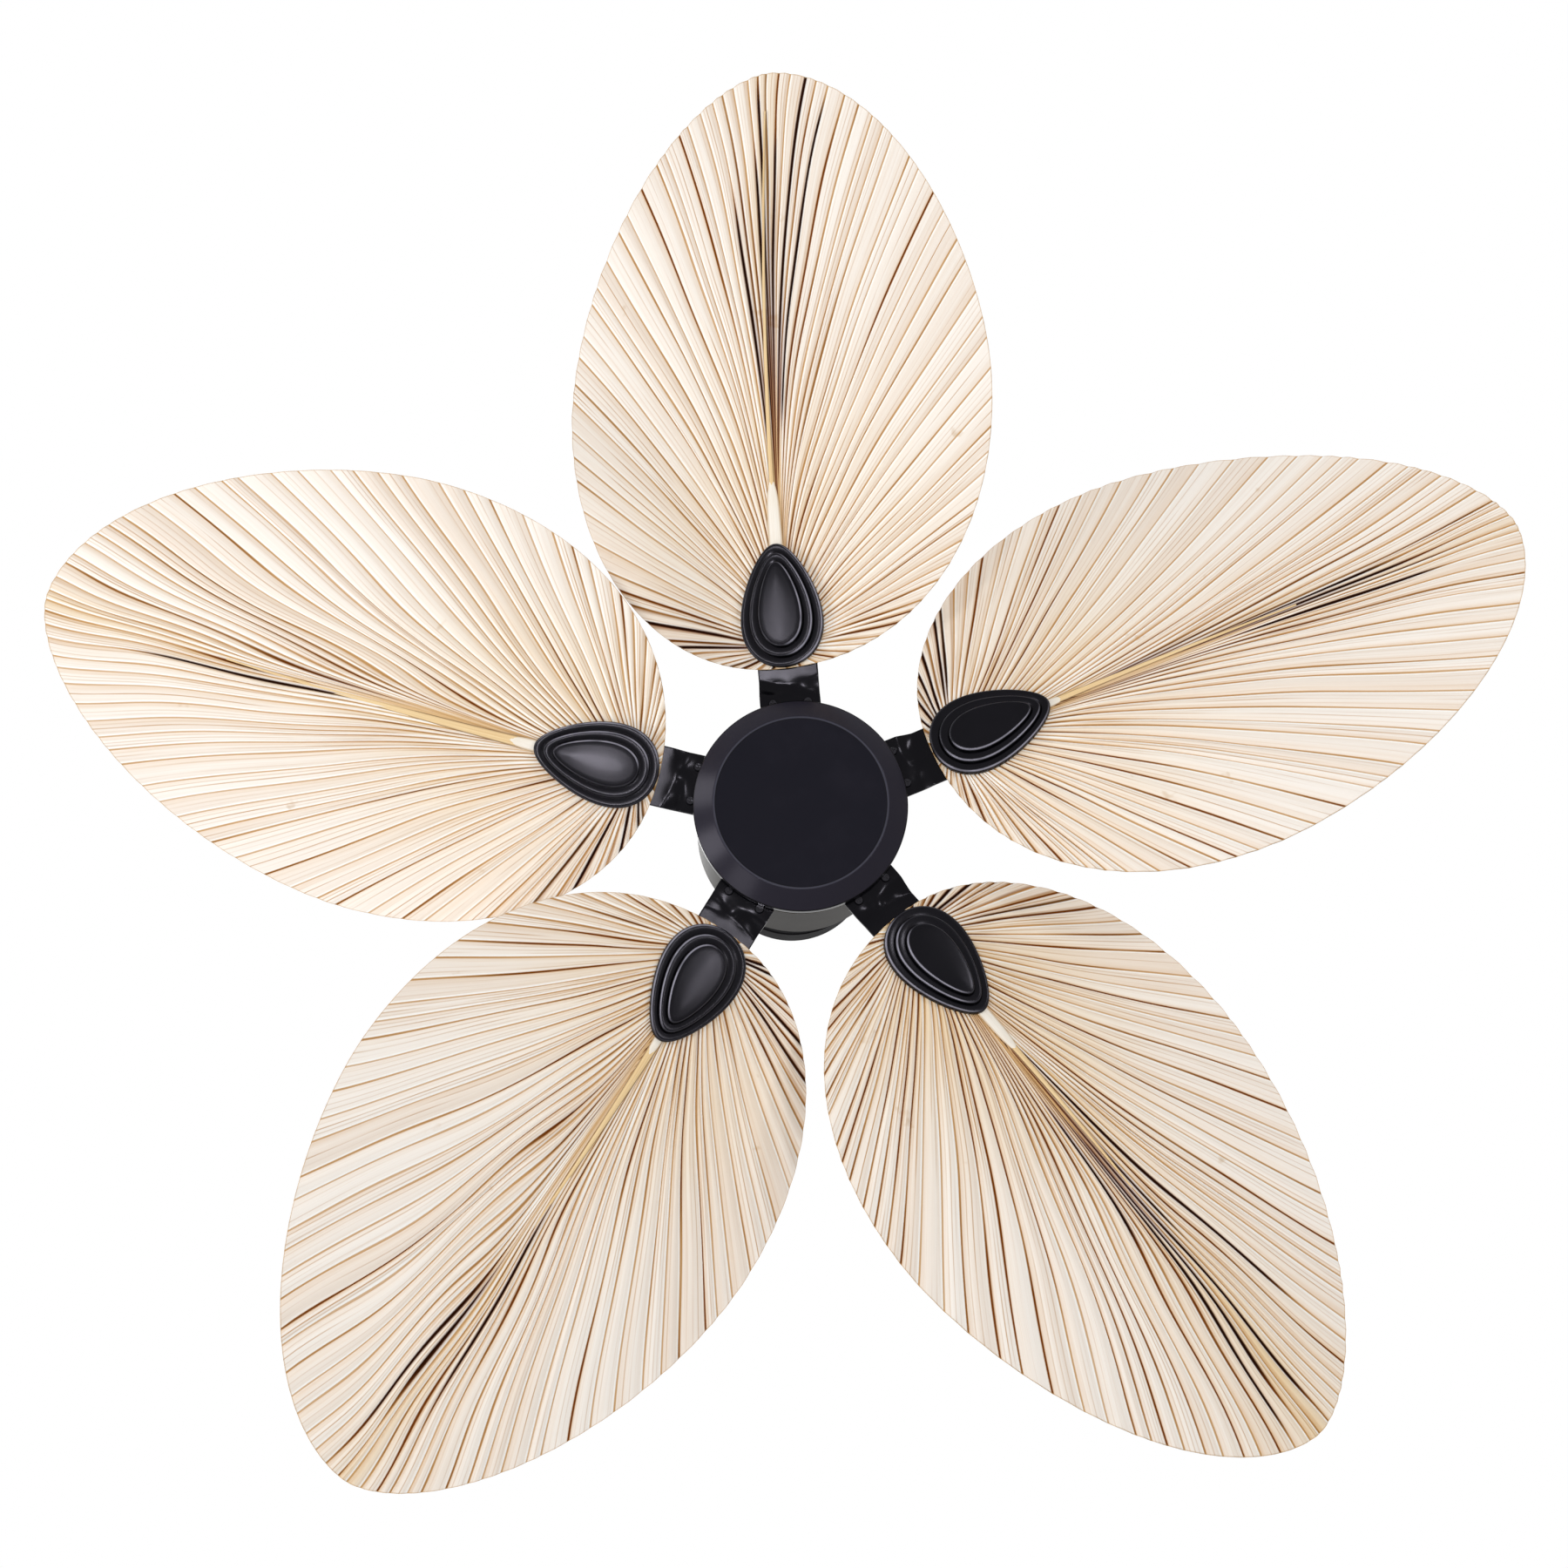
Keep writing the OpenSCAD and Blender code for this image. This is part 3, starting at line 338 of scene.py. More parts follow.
class Nodes:
    """The shader nodes of one tree, added and joined one after another."""

    def __init__(self, tree: bpy.types.NodeTree) -> None:
        """Takes the tree that the nodes go into."""
        self.tree = tree

    def join(self, value: object, socket: Socket) -> None:
        """Links a socket to another one, or writes a number, a colour or a vector into it.

        Args:
            value: The other socket, or what is written.
            socket: The socket.
        """
        if isinstance(value, bpy.types.NodeSocket):
            self.tree.links.new(value, socket)
        elif socket.type == "RGBA":
            socket.default_value = (*value, 1.0)
        else:
            socket.default_value = value

    def add(self, kind: str, inputs: dict[str | int, object], output: str,
            **settings: str) -> Socket:
        """Adds a node, sets it up and joins its inputs.

        Args:
            kind: The node's type, without its leading ShaderNode.
            inputs: What goes into its inputs, by name or number.
            output: Name of the output that is wanted.
            settings: Its own settings.
        Returns:
            The output.
        """
        node = self.tree.nodes.new("ShaderNode" + kind)
        for name, value in settings.items():
            setattr(node, name, value)
        for name, value in inputs.items():
            self.join(value, node.inputs[name])
        return node.outputs[output]

    def place(self) -> Socket:
        """The place on the piece, in metres of the fan's own frame."""
        return self.add("TexCoord", {}, "Object")

    def uv(self, name: str) -> tuple[Socket, Socket]:
        """The two numbers of a map of the piece."""
        first = self.add("SeparateXYZ", {"Vector": self.add("UVMap", {}, "UV", uv_map=name)}, "X")
        return first, first.node.outputs["Y"]

    def height(self, place: Socket) -> Socket:
        """The Z of a place."""
        return self.add("SeparateXYZ", {"Vector": place}, "Z")

    def vector(self, x: object, y: object, z: object = 0.0) -> Socket:
        """A vector of three numbers."""
        return self.add("CombineXYZ", {"X": x, "Y": y, "Z": z}, "Vector")

    def scaled(self, vector: Socket, scale: Triple) -> Socket:
        """A vector times another one, axis by axis."""
        return self.add("VectorMath", {0: vector, 1: scale}, "Vector", operation="MULTIPLY")

    def length(self, vector: Socket) -> Socket:
        """The length of a vector."""
        return self.add("VectorMath", {0: vector}, "Value", operation="LENGTH")

    def math(self, operation: str, first: object, second: object = 0.0) -> Socket:
        """One step of arithmetic."""
        return self.add("Math", {0: first, 1: second}, "Value", operation=operation)

    def times(self, *factors: object) -> Socket:
        """The product of numbers."""
        return functools.reduce(functools.partial(self.math, "MULTIPLY"), factors)

    def apart(self, value: Socket, other: float) -> Socket:
        """How far a number is from another one."""
        return self.math("ABSOLUTE", self.math("SUBTRACT", value, other))

    def span(self, value: Socket, low: object, high: object, to_low: object = 0.0,
             to_high: object = 1.0, kind: str = "SMOOTHSTEP") -> Socket:
        """Maps a range of numbers on another, clamped and with soft ends."""
        ends = dict(enumerate((value, low, high, to_low, to_high)))
        return self.add("MapRange", ends, "Result", interpolation_type=kind)

    def grade(self, share: Socket, start: float, end: float, full: float = 1.0) -> Socket:
        """Goes straight from a start to an end as a share goes from 0 to full."""
        return self.span(share, 0.0, full, start, end, "LINEAR")

    def window(self, value: Socket, rise: Pair, fall: Pair) -> Socket:
        """1 between the end of a rise and the start of a fall, 0 before and after them."""
        return self.times(self.span(value, *rise), self.span(value, *fall, 1.0, 0.0))

    def noise(self, vector: Socket, scale: float, detail: float = 3.0,
              roughness: float = 0.5) -> Socket:
        """Soft noise between 0 and 1."""
        inputs = {"Vector": vector, "Scale": scale, "Detail": detail, "Roughness": roughness}
        return self.add("TexNoise", inputs, "Fac")

    def patches(self, place: Socket, scale: float) -> Socket:
        """Patches of dust, wear or stain, at a scale per metre."""
        return self.noise(place, scale, 4.0, 0.6)

    def grain(self, place: Socket, scale: float) -> Socket:
        """Fine grain, at a scale per metre."""
        return self.noise(place, scale, 2.0)

    def dice(self, value: Socket) -> Socket:
        """A random number between 0 and 1 for each value."""
        return self.add("TexWhiteNoise", {"W": value}, "Value", noise_dimensions="1D")

    def varied(self, noise: Socket, least: float, most: float) -> Socket:
        """A number that follows a noise between two ends."""
        return self.span(noise, 0.3, 0.7, least, most)

    def mix(self, share: Socket, first: object, second: object) -> Socket:
        """Mixes two colours.

        Args:
            share: How much of the second colour there is, from 0 to 1.
            first: The first colour.
            second: The second colour.
        Returns:
            The mixed colour.
        """
        node = self.tree.nodes.new("ShaderNodeMix")
        node.data_type = "RGBA"
        colours = [socket for socket in node.inputs if socket.type == "RGBA"]
        for value, socket in zip((share, first, second), (node.inputs["Factor"], *colours)):
            self.join(value, socket)
        return next(socket for socket in node.outputs if socket.type == "RGBA")

    def patched(self, noise: Socket, reach: Triple, first: object, second: object) -> Socket:
        """Mixes a second colour in where a noise is high.

        Args:
            noise: The noise.
            reach: Where the second colour starts, where it is full, and how much there is then.
            first: The first colour.
            second: The second colour.
        Returns:
            The mixed colour.
        """
        low, high, most = reach
        return self.mix(self.span(noise, low, high, 0.0, most), first, second)

    def shown(self) -> Socket:
        """1 for the rays that show the surroundings: camera, glossy and transmission rays."""
        rays = self.add("LightPath", {}, "Is Camera Ray").node.outputs
        return self.math("MAXIMUM", rays["Is Transmission Ray"],
                         self.math("MAXIMUM", rays["Is Camera Ray"], rays["Is Glossy Ray"]))


class Graph(Nodes):
    """The nodes of one material, with its shader and output."""

    def __init__(self, name: str) -> None:
        """Starts a material.

        Args:
            name: The material's name.
        """
        self.material = bpy.data.materials.new(name)
        self.material.use_nodes = True
        super().__init__(self.material.node_tree)
        self.tree.nodes.clear()
        self.shader = self.tree.nodes.new("ShaderNodeBsdfPrincipled")
        output = self.tree.nodes.new("ShaderNodeOutputMaterial")
        self.join(self.shader.outputs["BSDF"], output.inputs["Surface"])

    def set(self, **values: object) -> None:
        """Sets inputs of the shader; an underscore in a name stands for a blank."""
        for name, value in values.items():
            self.join(value, self.shader.inputs[name.replace("_", " ")])

    def bump(self, height: Socket, distance: float) -> None:
        """Gives the shader a bump of a height in metres."""
        inputs = {"Strength": 1.0, "Distance": distance, "Height": height}
        self.set(Normal=self.add("Bump", inputs, "Normal"))


@dataclass(frozen=True)
class Enamel:
    """Painted steel: satin or gloss, with the fine pebble of sprayed enamel.

    Attributes:
        slot: The record's material slot.
        colour: Colour of the paint.
        dust: Colour of the thin dust and wear in patches.
        roughness: Roughness of the paint.
        pebble: Size of the grain in metres.
        relief: Height of the grain in metres.
        specular: Strength of the paint's reflection.
        patch_scale: Scale of the patches, per metre.
        reach: Where the dust starts in a patch, where it is full, and how full.
    """

    slot: str
    colour: Colour
    dust: Colour
    roughness: float
    pebble: float = 0.0012
    relief: float = 0.00003
    specular: float = 0.15
    patch_scale: float = 14.0
    reach: Triple = (0.42, 0.72, 0.55)

    def build(self) -> Material:
        """Makes the material."""
        graph = Graph(self.slot)
        place = graph.place()
        patches = graph.patches(place, self.patch_scale)
        graph.set(Base_Color=graph.patched(patches, self.reach, self.colour, self.dust),
                  Roughness=graph.varied(patches, self.roughness - 0.04, self.roughness + 0.05),
                  Specular_IOR_Level=self.specular, Specular_Tint=COOL_GLOSS)
        graph.bump(graph.grain(place, 1 / self.pebble), self.relief)
        return graph.material


@dataclass(frozen=True)
class DrumPaint:
    """The drum's paint: warm black, with a worn bright lip and a dark groove over it.

    Attributes:
        slot: The record's material slot.
        colour: Colour of the paint; its warm olive tone is partly painted reflection.
        dust: Colour in its patches.
        painted_highlight: Colour of the painted highlight on the lip.
        groove: Colour of the painted shade in the groove over the lip.
        patch_scale: Scale of the patches, per metre.
        reach: Where the dust starts in a patch, where it is full, and how full.
        lip_z: Height of the lip's lowest point.
        lip_rise: Heights over that point between which the painted highlight comes.
        lip_fall: Heights between which it goes.
        groove_rise: Heights between which the painted shade in the groove comes.
        groove_fall: Heights between which it goes.
        highlight_strength: How strong the painted highlight on the lip is.
        roughness: Roughness of the paint.
        specular: Strength of the paint's reflection.
        grain: Scale of the grain, per metre.
        relief: Height of the grain in metres.
    """

    slot: str = "housing_black"
    colour: Colour = linear(32, 29, 25)
    dust: Colour = linear(42, 38, 33)
    painted_highlight: Colour = linear(150, 146, 138)
    groove: Colour = linear(3, 3, 4)
    patch_scale: float = 14.0
    reach: Triple = (0.42, 0.72, 0.55)
    lip_z: float = DRUM_FOOT
    lip_rise: Pair = (0.0008, 0.0014)
    lip_fall: Pair = (0.0022, 0.0030)
    groove_rise: Pair = (0.0024, 0.0030)
    groove_fall: Pair = (0.0042, 0.0048)
    highlight_strength: float = 0.75
    roughness: float = 0.52
    specular: float = 0.07
    grain: float = 800.0
    relief: float = 0.00003

    def build(self) -> Material:
        """Makes the material."""
        graph = Graph(self.slot)
        place = graph.place()
        patches = graph.patches(place, self.patch_scale)
        over_foot = graph.math("SUBTRACT", graph.height(place), self.lip_z)
        # a painted highlight along the rolled lip, and painted shade in the groove over it
        on_lip = graph.window(over_foot, self.lip_rise, self.lip_fall)
        in_groove = graph.window(over_foot, self.groove_rise, self.groove_fall)
        colour = graph.patched(patches, self.reach, self.colour, self.dust)
        colour = graph.mix(graph.times(on_lip, self.highlight_strength), colour, self.painted_highlight)
        colour = graph.mix(in_groove, colour, self.groove)
        graph.set(Base_Color=colour, Roughness=self.roughness, Specular_IOR_Level=self.specular,
                  Specular_Tint=WARM_GLOSS)
        graph.bump(graph.grain(place, self.grain), self.relief)
        return graph.material


@dataclass(frozen=True)
class CapPaint:
    """The cap's paint: a matte face ringed by a painted shadow line and highlight, a satin chamfer,
    a dark rim.

    Attributes:
        slot: The record's material slot.
        face: Colour of the matte face.
        satin: Colour of the chamfer, lighter than the face partly as painted sheen.
        painted_highlight: Colour of the thin painted highlight on the edge between them.
        dark: Colour of the shadow line inside that edge, and of the rim.
        shadow_at: Radii between which the shadow line comes.
        highlight_at: Radii between which the painted highlight comes.
        satin_at: Radii between which the chamfer's paint comes.
        rim_at: Radii between which the rim's dark colour comes.
        shadow: How dark the shadow line is.
        patch_scale: Scale of the patches, per metre.
        reach: Where a satin patch starts, where it is full, and how full.
        roughness: Roughness of the face and of the chamfer.
        specular: Strength of the paint's reflection.
        grain: Scale of the grain, per metre.
        fine: Height of the grain on the chamfer, as a share of that on the face.
        relief: Height of the grain in metres.
    """

    slot: str = "cap_black"
    face: Colour = linear(9, 9, 18)
    satin: Colour = linear(34, 32, 41)
    painted_highlight: Colour = linear(60, 60, 70)
    dark: Colour = linear(4, 4, 6)
    shadow_at: Pair = (0.0712, 0.0720)
    highlight_at: Pair = (0.0722, 0.0728)
    satin_at: Pair = (0.0734, 0.0744)
    rim_at: Pair = (0.0896, 0.0902)
    shadow: float = 0.8
    patch_scale: float = 16.0
    reach: Triple = (0.45, 0.75, 0.20)
    roughness: Pair = (0.60, 0.235)
    specular: float = 0.13
    grain: float = 1500.0
    fine: float = 0.25
    relief: float = 0.00004

    def build(self) -> Material:
        """Makes the material."""
        graph = Graph(self.slot)
        place = graph.place()
        radius = graph.length(graph.scaled(place, (1.0, 1.0, 0.0)))
        in_shadow, outside, beyond, at_rim = (
            graph.span(radius, *radii)
            for radii in (self.shadow_at, self.highlight_at, self.satin_at, self.rim_at))
        # a painted shadow line inside the face's edge, a painted highlight on that edge, then the
        # chamfer's lighter paint, which is partly painted sheen
        colour = graph.mix(graph.times(in_shadow, self.shadow), self.face, self.dark)
        colour = graph.mix(outside, colour, self.painted_highlight)
        colour = graph.mix(beyond, colour, self.satin)
        colour = graph.patched(graph.patches(place, self.patch_scale), self.reach, colour,
                               self.satin)
        colour = graph.mix(at_rim, colour, self.dark)
        graph.set(Base_Color=colour, Roughness=graph.span(beyond, 0.0, 1.0, *self.roughness),
                  Specular_IOR_Level=self.specular, Specular_Tint=COOL_GLOSS)
        graph.bump(graph.times(graph.grain(place, self.grain),
                               graph.span(beyond, 0.0, 1.0, 1.0, self.fine)), self.relief)
        return graph.material


@dataclass(frozen=True)
class MedallionPaint:
    """The medallion's satin paint, with a painted highlight on each step and painted shade in its
    groove.

    The map "step" gives the distance from the nearest step's edge and from its foot, both in
    millimetres; "side" gives how far a point lies towards the leading side, from -1 to 1.

    Attributes:
        slot: The record's material slot.
        satin: Colour of the paint.
        dust: Colour in its patches.
        painted_highlight: Colour of the painted highlight along the steps' edges.
        groove: Colour of the painted shade in the grooves.
        patch_scale: Scale of the patches, per metre.
        reach: Where the dust starts in a patch, where it is full, and how full.
        highlight_scale: Scale at which the painted highlight comes and goes, per metre.
        roughness: Least and most roughness.
        specular: Strength of the paint's reflection.
        grain: Scale of the grain, per metre.
        relief: Height of the grain in metres.
    """

    slot: str = "medallion_black"
    satin: Colour = linear(5, 5, 8)
    dust: Colour = linear(14, 13, 18)
    painted_highlight: Colour = linear(158, 156, 170)
    groove: Colour = linear(1, 1, 2)
    patch_scale: float = 34.0
    reach: Triple = (0.40, 0.70, 0.35)
    highlight_scale: float = 60.0
    roughness: Pair = (0.21, 0.225)
    specular: float = 0.15
    grain: float = 1300.0
    relief: float = 0.000008

    def build(self) -> Material:
        """Makes the material."""
        graph = Graph(self.slot)
        from_edge, from_foot = graph.uv("step")
        side, _ = graph.uv("side")
        place = graph.place()
        patches = graph.patches(place, self.patch_scale)
        # a painted highlight along each step's edge, broken up by noise and strongest on the
        # leading side
        highlight_strength = graph.grain(place, self.highlight_scale)
        edge = graph.times(graph.span(from_edge, 0.1, 1.3, 0.85, 0.0),
                           graph.span(highlight_strength, 0.25, 0.60, 0.5, 1.0),
                           graph.span(side, 0.0, 0.55, 0.10, 1.0))
        colour = graph.patched(patches, self.reach, self.satin, self.dust)
        colour = graph.mix(edge, colour, self.painted_highlight)
        # painted shade in the groove at each step's foot
        colour = graph.mix(graph.span(from_foot, 0.3, 1.2, 0.95, 0.0), colour, self.groove)
        graph.set(Base_Color=colour, Roughness=graph.varied(patches, *self.roughness),
                  Specular_IOR_Level=self.specular, Specular_Tint=COOL_GLOSS)
        graph.bump(graph.grain(place, self.grain), self.relief)
        return graph.material


@dataclass(frozen=True)
class BareMetal:
    """Metal without paint: plated, ground, cast or laminated.

    Attributes:
        slot: The record's material slot.
        colour: Colour of the clean metal.
        stain: Colour in the dull patches.
        roughness: Roughness of the metal.
        metallic: How metallic it is.
        grain: Scale of the grain along X, Y and Z, per metre.
        relief: Height of the grain in metres.
        patch_scale: Scale of the patches, per metre.
        reach: Where a dull patch starts, where it is full, and how full.
    """

    slot: str
    colour: Colour
    stain: Colour
    roughness: float
    metallic: float = 1.0
    grain: Triple = (900.0, 900.0, 900.0)
    relief: float = 0.00003
    patch_scale: float = 40.0
    reach: Triple = (0.4, 0.7, 0.6)

    def build(self) -> Material:
        """Makes the material."""
        graph = Graph(self.slot)
        place = graph.place()
        patches = graph.patches(place, self.patch_scale)
        grain = graph.noise(graph.scaled(place, self.grain), 1.0, 3.0, 0.6)
        graph.set(Base_Color=graph.patched(patches, self.reach, self.colour, self.stain),
                  Roughness=graph.varied(grain, self.roughness - 0.06, self.roughness + 0.08),
                  Metallic=self.metallic)
        graph.bump(grain, self.relief)
        return graph.material


@dataclass(frozen=True)
class Moulded:
    """Moulded plastic or rubber with a fine grain.

    Attributes:
        slot: The record's material slot.
        colour: Colour of the plastic.
        shade: Colour of its darker flow marks.
        roughness: Roughness of its face.
        flow_scale: Scale of the flow marks, per metre.
        reach: Where a flow mark starts, where it is full, and how full.
        grain: Scale of the grain, per metre.
        relief: Height of the grain in metres.
    """

    slot: str
    colour: Colour
    shade: Colour
    roughness: float
    flow_scale: float = 60.0
    reach: Triple = (0.35, 0.7, 0.5)
    grain: float = 1600.0
    relief: float = 0.00002

    def build(self) -> Material:
        """Makes the material."""
        graph = Graph(self.slot)
        place = graph.place()
        flow = graph.noise(place, self.flow_scale)
        graph.set(Base_Color=graph.patched(flow, self.reach, self.colour, self.shade),
                  Roughness=graph.varied(flow, self.roughness - 0.03, self.roughness + 0.05))
        graph.bump(graph.grain(place, self.grain), self.relief)
        return graph.material


@dataclass(frozen=True)
class DriedPalm:
    """The dried palm leaf: pale bands, brown creases partly painted shade, fine fibres and a
    browned edge.

    Attributes:
        slot: The record's material slot.
        cream: Colour of a clean band.
        straw: Colour of a darker band.
        golden: Colour near the stalk.
        tan: Colour of the soft shading beside a crease.
        umber: Colour of that shading where it is deepest.
        fold: Colour of the fine folds between the creases.
        faint: Colour of a weak crease.
        crease: Colour of a strong crease.
        crease_shadow: Colour of the painted shade in an open, black crease.
        bright: Colour of the lit side of a crease.
        rust: Colour of stains and of the trimmed edge.
        fine_lines: Place on its pleat, seed and strength of each fine fold.
        roughness: Least and most roughness.
        specular: Strength of the leaf's reflection.
        relief: Height of the fibres in metres.
    """

    slot: str = "palm_leaf"
    cream: Colour = linear(249, 242, 234)
    straw: Colour = linear(238, 225, 212)
    golden: Colour = linear(234, 208, 166)
    tan: Colour = linear(210, 160, 92)
    umber: Colour = linear(118, 54, 8)
    fold: Colour = linear(186, 136, 76)
    faint: Colour = linear(190, 140, 74)
    crease: Colour = linear(114, 58, 12)
    crease_shadow: Colour = linear(36, 12, 2)
    bright: Colour = linear(255, 254, 250)
    rust: Colour = linear(190, 152, 100)
    fine_lines: tuple[Triple, ...] = ((0.5, 2.9, 0.9), (0.29, 4.3, 0.45), (0.74, 6.1, 0.5))
    roughness: Pair = (0.58, 0.74)
    specular: float = 0.015
    relief: float = 0.00008

    def build(self) -> Material:
        """Makes the material: its colour is laid from the bands up to the browned cut."""
        graph = LeafGraph(self)
        graph.lay_bands()
        graph.lay_shading()
        graph.lay_fine_folds()
        graph.lay_stains()
        graph.lay_creases()
        graph.lay(graph.span(graph.rim, 0.3, 1.2, 0.55, 0.0), self.rust)
        graph.set(Base_Color=graph.colour, Roughness=graph.varied(graph.streak, *self.roughness),
                  Specular_IOR_Level=self.specular)
        graph.bump(graph.math("ADD", graph.fibres, graph.times(graph.streak, 0.6)), self.relief)
        return graph.material


class LeafGraph(Graph):
    """The nodes of the leaf's material, and its colour, laid layer over layer.

    The map "pleat" gives a place as its pleat and its share of the way out; "size" gives the
    pleat's width there and the distance to the leaf's edge, both in millimetres; "crease" gives
    how strong and how black the nearest crease is; "tone" gives how shaded and how golden the
    band is.
    """

    def __init__(self, look: DriedPalm) -> None:
        """Reads the maps, and finds the creases around each point.

        Args:
            look: The leaf's colours.
        """
        super().__init__(look.slot)
        self.look = look
        self.here = self.place()
        pleat, self.out = self.uv("pleat")
        self.width, self.rim = self.uv("size")
        self.strength, self.black = self.uv("crease")
        self.shade, self.golden = self.uv("tone")
        self.number = self.math("FLOOR", pleat)
        self.inside = self.math("FRACT", pleat)
        self.after = self.times(self.inside, self.width)
        before = self.times(self.math("SUBTRACT", 1.0, self.inside), self.width)
        self.near = self.math("MINIMUM", self.after, before)
        self.own = self.dice(self.times(self.number, 1.37))
        self.streak = self.noise(self.vector(self.times(pleat, 5.0), self.times(self.out, 2.4),
                                             self.own), 1.0, 3.0, 0.6)
        self.fibres = self.grain(self.vector(self.times(pleat, 34.0),
                                             self.times(self.out, 5.0)), 1.0)
        self.colour = look.cream

    def lay(self, share: Socket, tone: object) -> None:
        """Mixes a tone into the colour."""
        self.colour = self.mix(share, self.colour, tone)

    def lay_bands(self) -> None:
        """Bands of their own tone, with broad streaks, fine fibres and golden patches."""
        tone = self.math("ADD", self.times(self.own, 0.45), self.times(self.streak, 0.8))
        self.lay(self.span(tone, 0.35, 1.0), self.look.straw)
        blotch = self.noise(self.here, 8.0, 3.0, 0.55)
        self.lay(self.times(self.golden, self.span(blotch, 0.2, 0.75, 0.45, 1.15)),
                 self.look.golden)
        self.lay(self.span(self.fibres, 0.56, 0.80, 0.0, 0.18), self.look.tan)

    def lay_shading(self) -> None:
        """Soft shade on the half of a band before a crease, and a lit line after it."""
        half = self.times(self.span(self.inside, 0.52, 0.98),
                          self.span(self.streak, 0.25, 0.65, 0.45, 1.0))
        self.lay(self.times(half, self.span(self.shade, 0.1, 1.0, 0.10, 0.85, "LINEAR")),
                 self.look.tan)
        self.lay(self.times(half, self.span(self.shade, 0.45, 1.0, 0.0, 0.9)), self.look.umber)
        self.lay(self.times(self.window(self.after, (0.6, 1.1), (1.5, 2.8)), 0.95),
                 self.look.bright)

    def lay_fine_folds(self) -> None:
        """Fine lines between the creases, each of which comes and goes along its way."""
        for share, seed, strong in self.look.fine_lines:
            own = self.times(self.number, seed)
            fade = self.noise(self.vector(own, self.times(self.out, 4.0)), 1.0, 1.0)
            off = self.times(self.apart(self.inside, share), self.width)
            self.lay(self.times(self.span(off, 0.2, 0.65, strong, 0.0), self.dice(own),
                                self.span(fade, 0.3, 0.6), self.span(self.width, 2.5, 5.0)),
                     self.look.fold)

    def lay_stains(self) -> None:
        """Small rusty stains, under the creases so that none lies pale on a black one."""
        self.lay(self.span(self.noise(self.here, 26.0, 3.0, 0.65), 0.69, 0.76, 0.0, 0.40),
                 self.look.rust)

    def lay_creases(self) -> None:
        """Creases: a thin line, partly the fold's own brown and partly painted shade, in a soft
        border of painted shade.
        """
        look, strength, black = self.look, self.strength, self.black
        # soft painted shade beside each crease, tan, deepening to umber where the crease is black
        border_shade = self.span(self.near, 0.4, self.grade(strength, 0.9, 2.5),
                           self.span(black, 0.0, 1.0, 0.65, 0.92), 0.0)
        self.lay(self.times(border_shade, strength),
                 self.mix(self.span(black, 0.2, 0.8), look.tan, look.umber))
        # the crease line: partly the fold's own brown, partly painted shade; a black line is the
        # painted shade of an open fold
        half_line = self.math("MINIMUM",
                              self.math("ADD", self.grade(strength, 0.78, 1.05),
                                        self.times(black, 0.55)),
                              self.times(self.width, self.grade(black, 0.20, 0.40)))
        line = self.span(self.near, self.times(half_line, 0.5), self.times(half_line, 1.2),
                         1.0, 0.0)
        ink = self.mix(self.span(strength, 0.35, 0.95), look.faint, look.crease)
        self.lay(self.times(line, self.grade(strength, 0.55, 1.0, 0.7)),
                 self.mix(self.span(black, 0.3, 0.95), ink, look.crease_shadow))


@dataclass(frozen=True)
class DriedStalk:
    """The leaf's stalk and midrib, with fine fibres along it and darker edges.

    Attributes:
        name: The material's name.
        pale: Colour of its face.
        straw: Colour of its fibres.
        side: Colour of its edges.
        fibres_along: Number of changes along the piece.
        fibres_across: Number of fibres across it.
        relief: Height of the fibres in metres.
    """

    name: str
    pale: Colour
    straw: Colour
    side: Colour
    fibres_along: float = 3.0
    fibres_across: float = 26.0
    relief: float = 0.0001

    def build(self) -> Material:
        """Makes the material."""
        graph = Graph(self.name)
        along, across = graph.uv("UVMap")
        fibres = graph.noise(graph.vector(graph.times(along, self.fibres_along),
                                          graph.times(across, self.fibres_across)), 1.0)
        colour = graph.patched(fibres, (0.42, 0.72, 0.8), self.pale, self.straw)
        colour = graph.patched(graph.apart(across, 0.5), (0.30, 0.5, 0.8), colour, self.side)
        graph.set(Base_Color=colour, Roughness=0.6, Specular_IOR_Level=0.2)
        graph.bump(fibres, self.relief)
        return graph.material


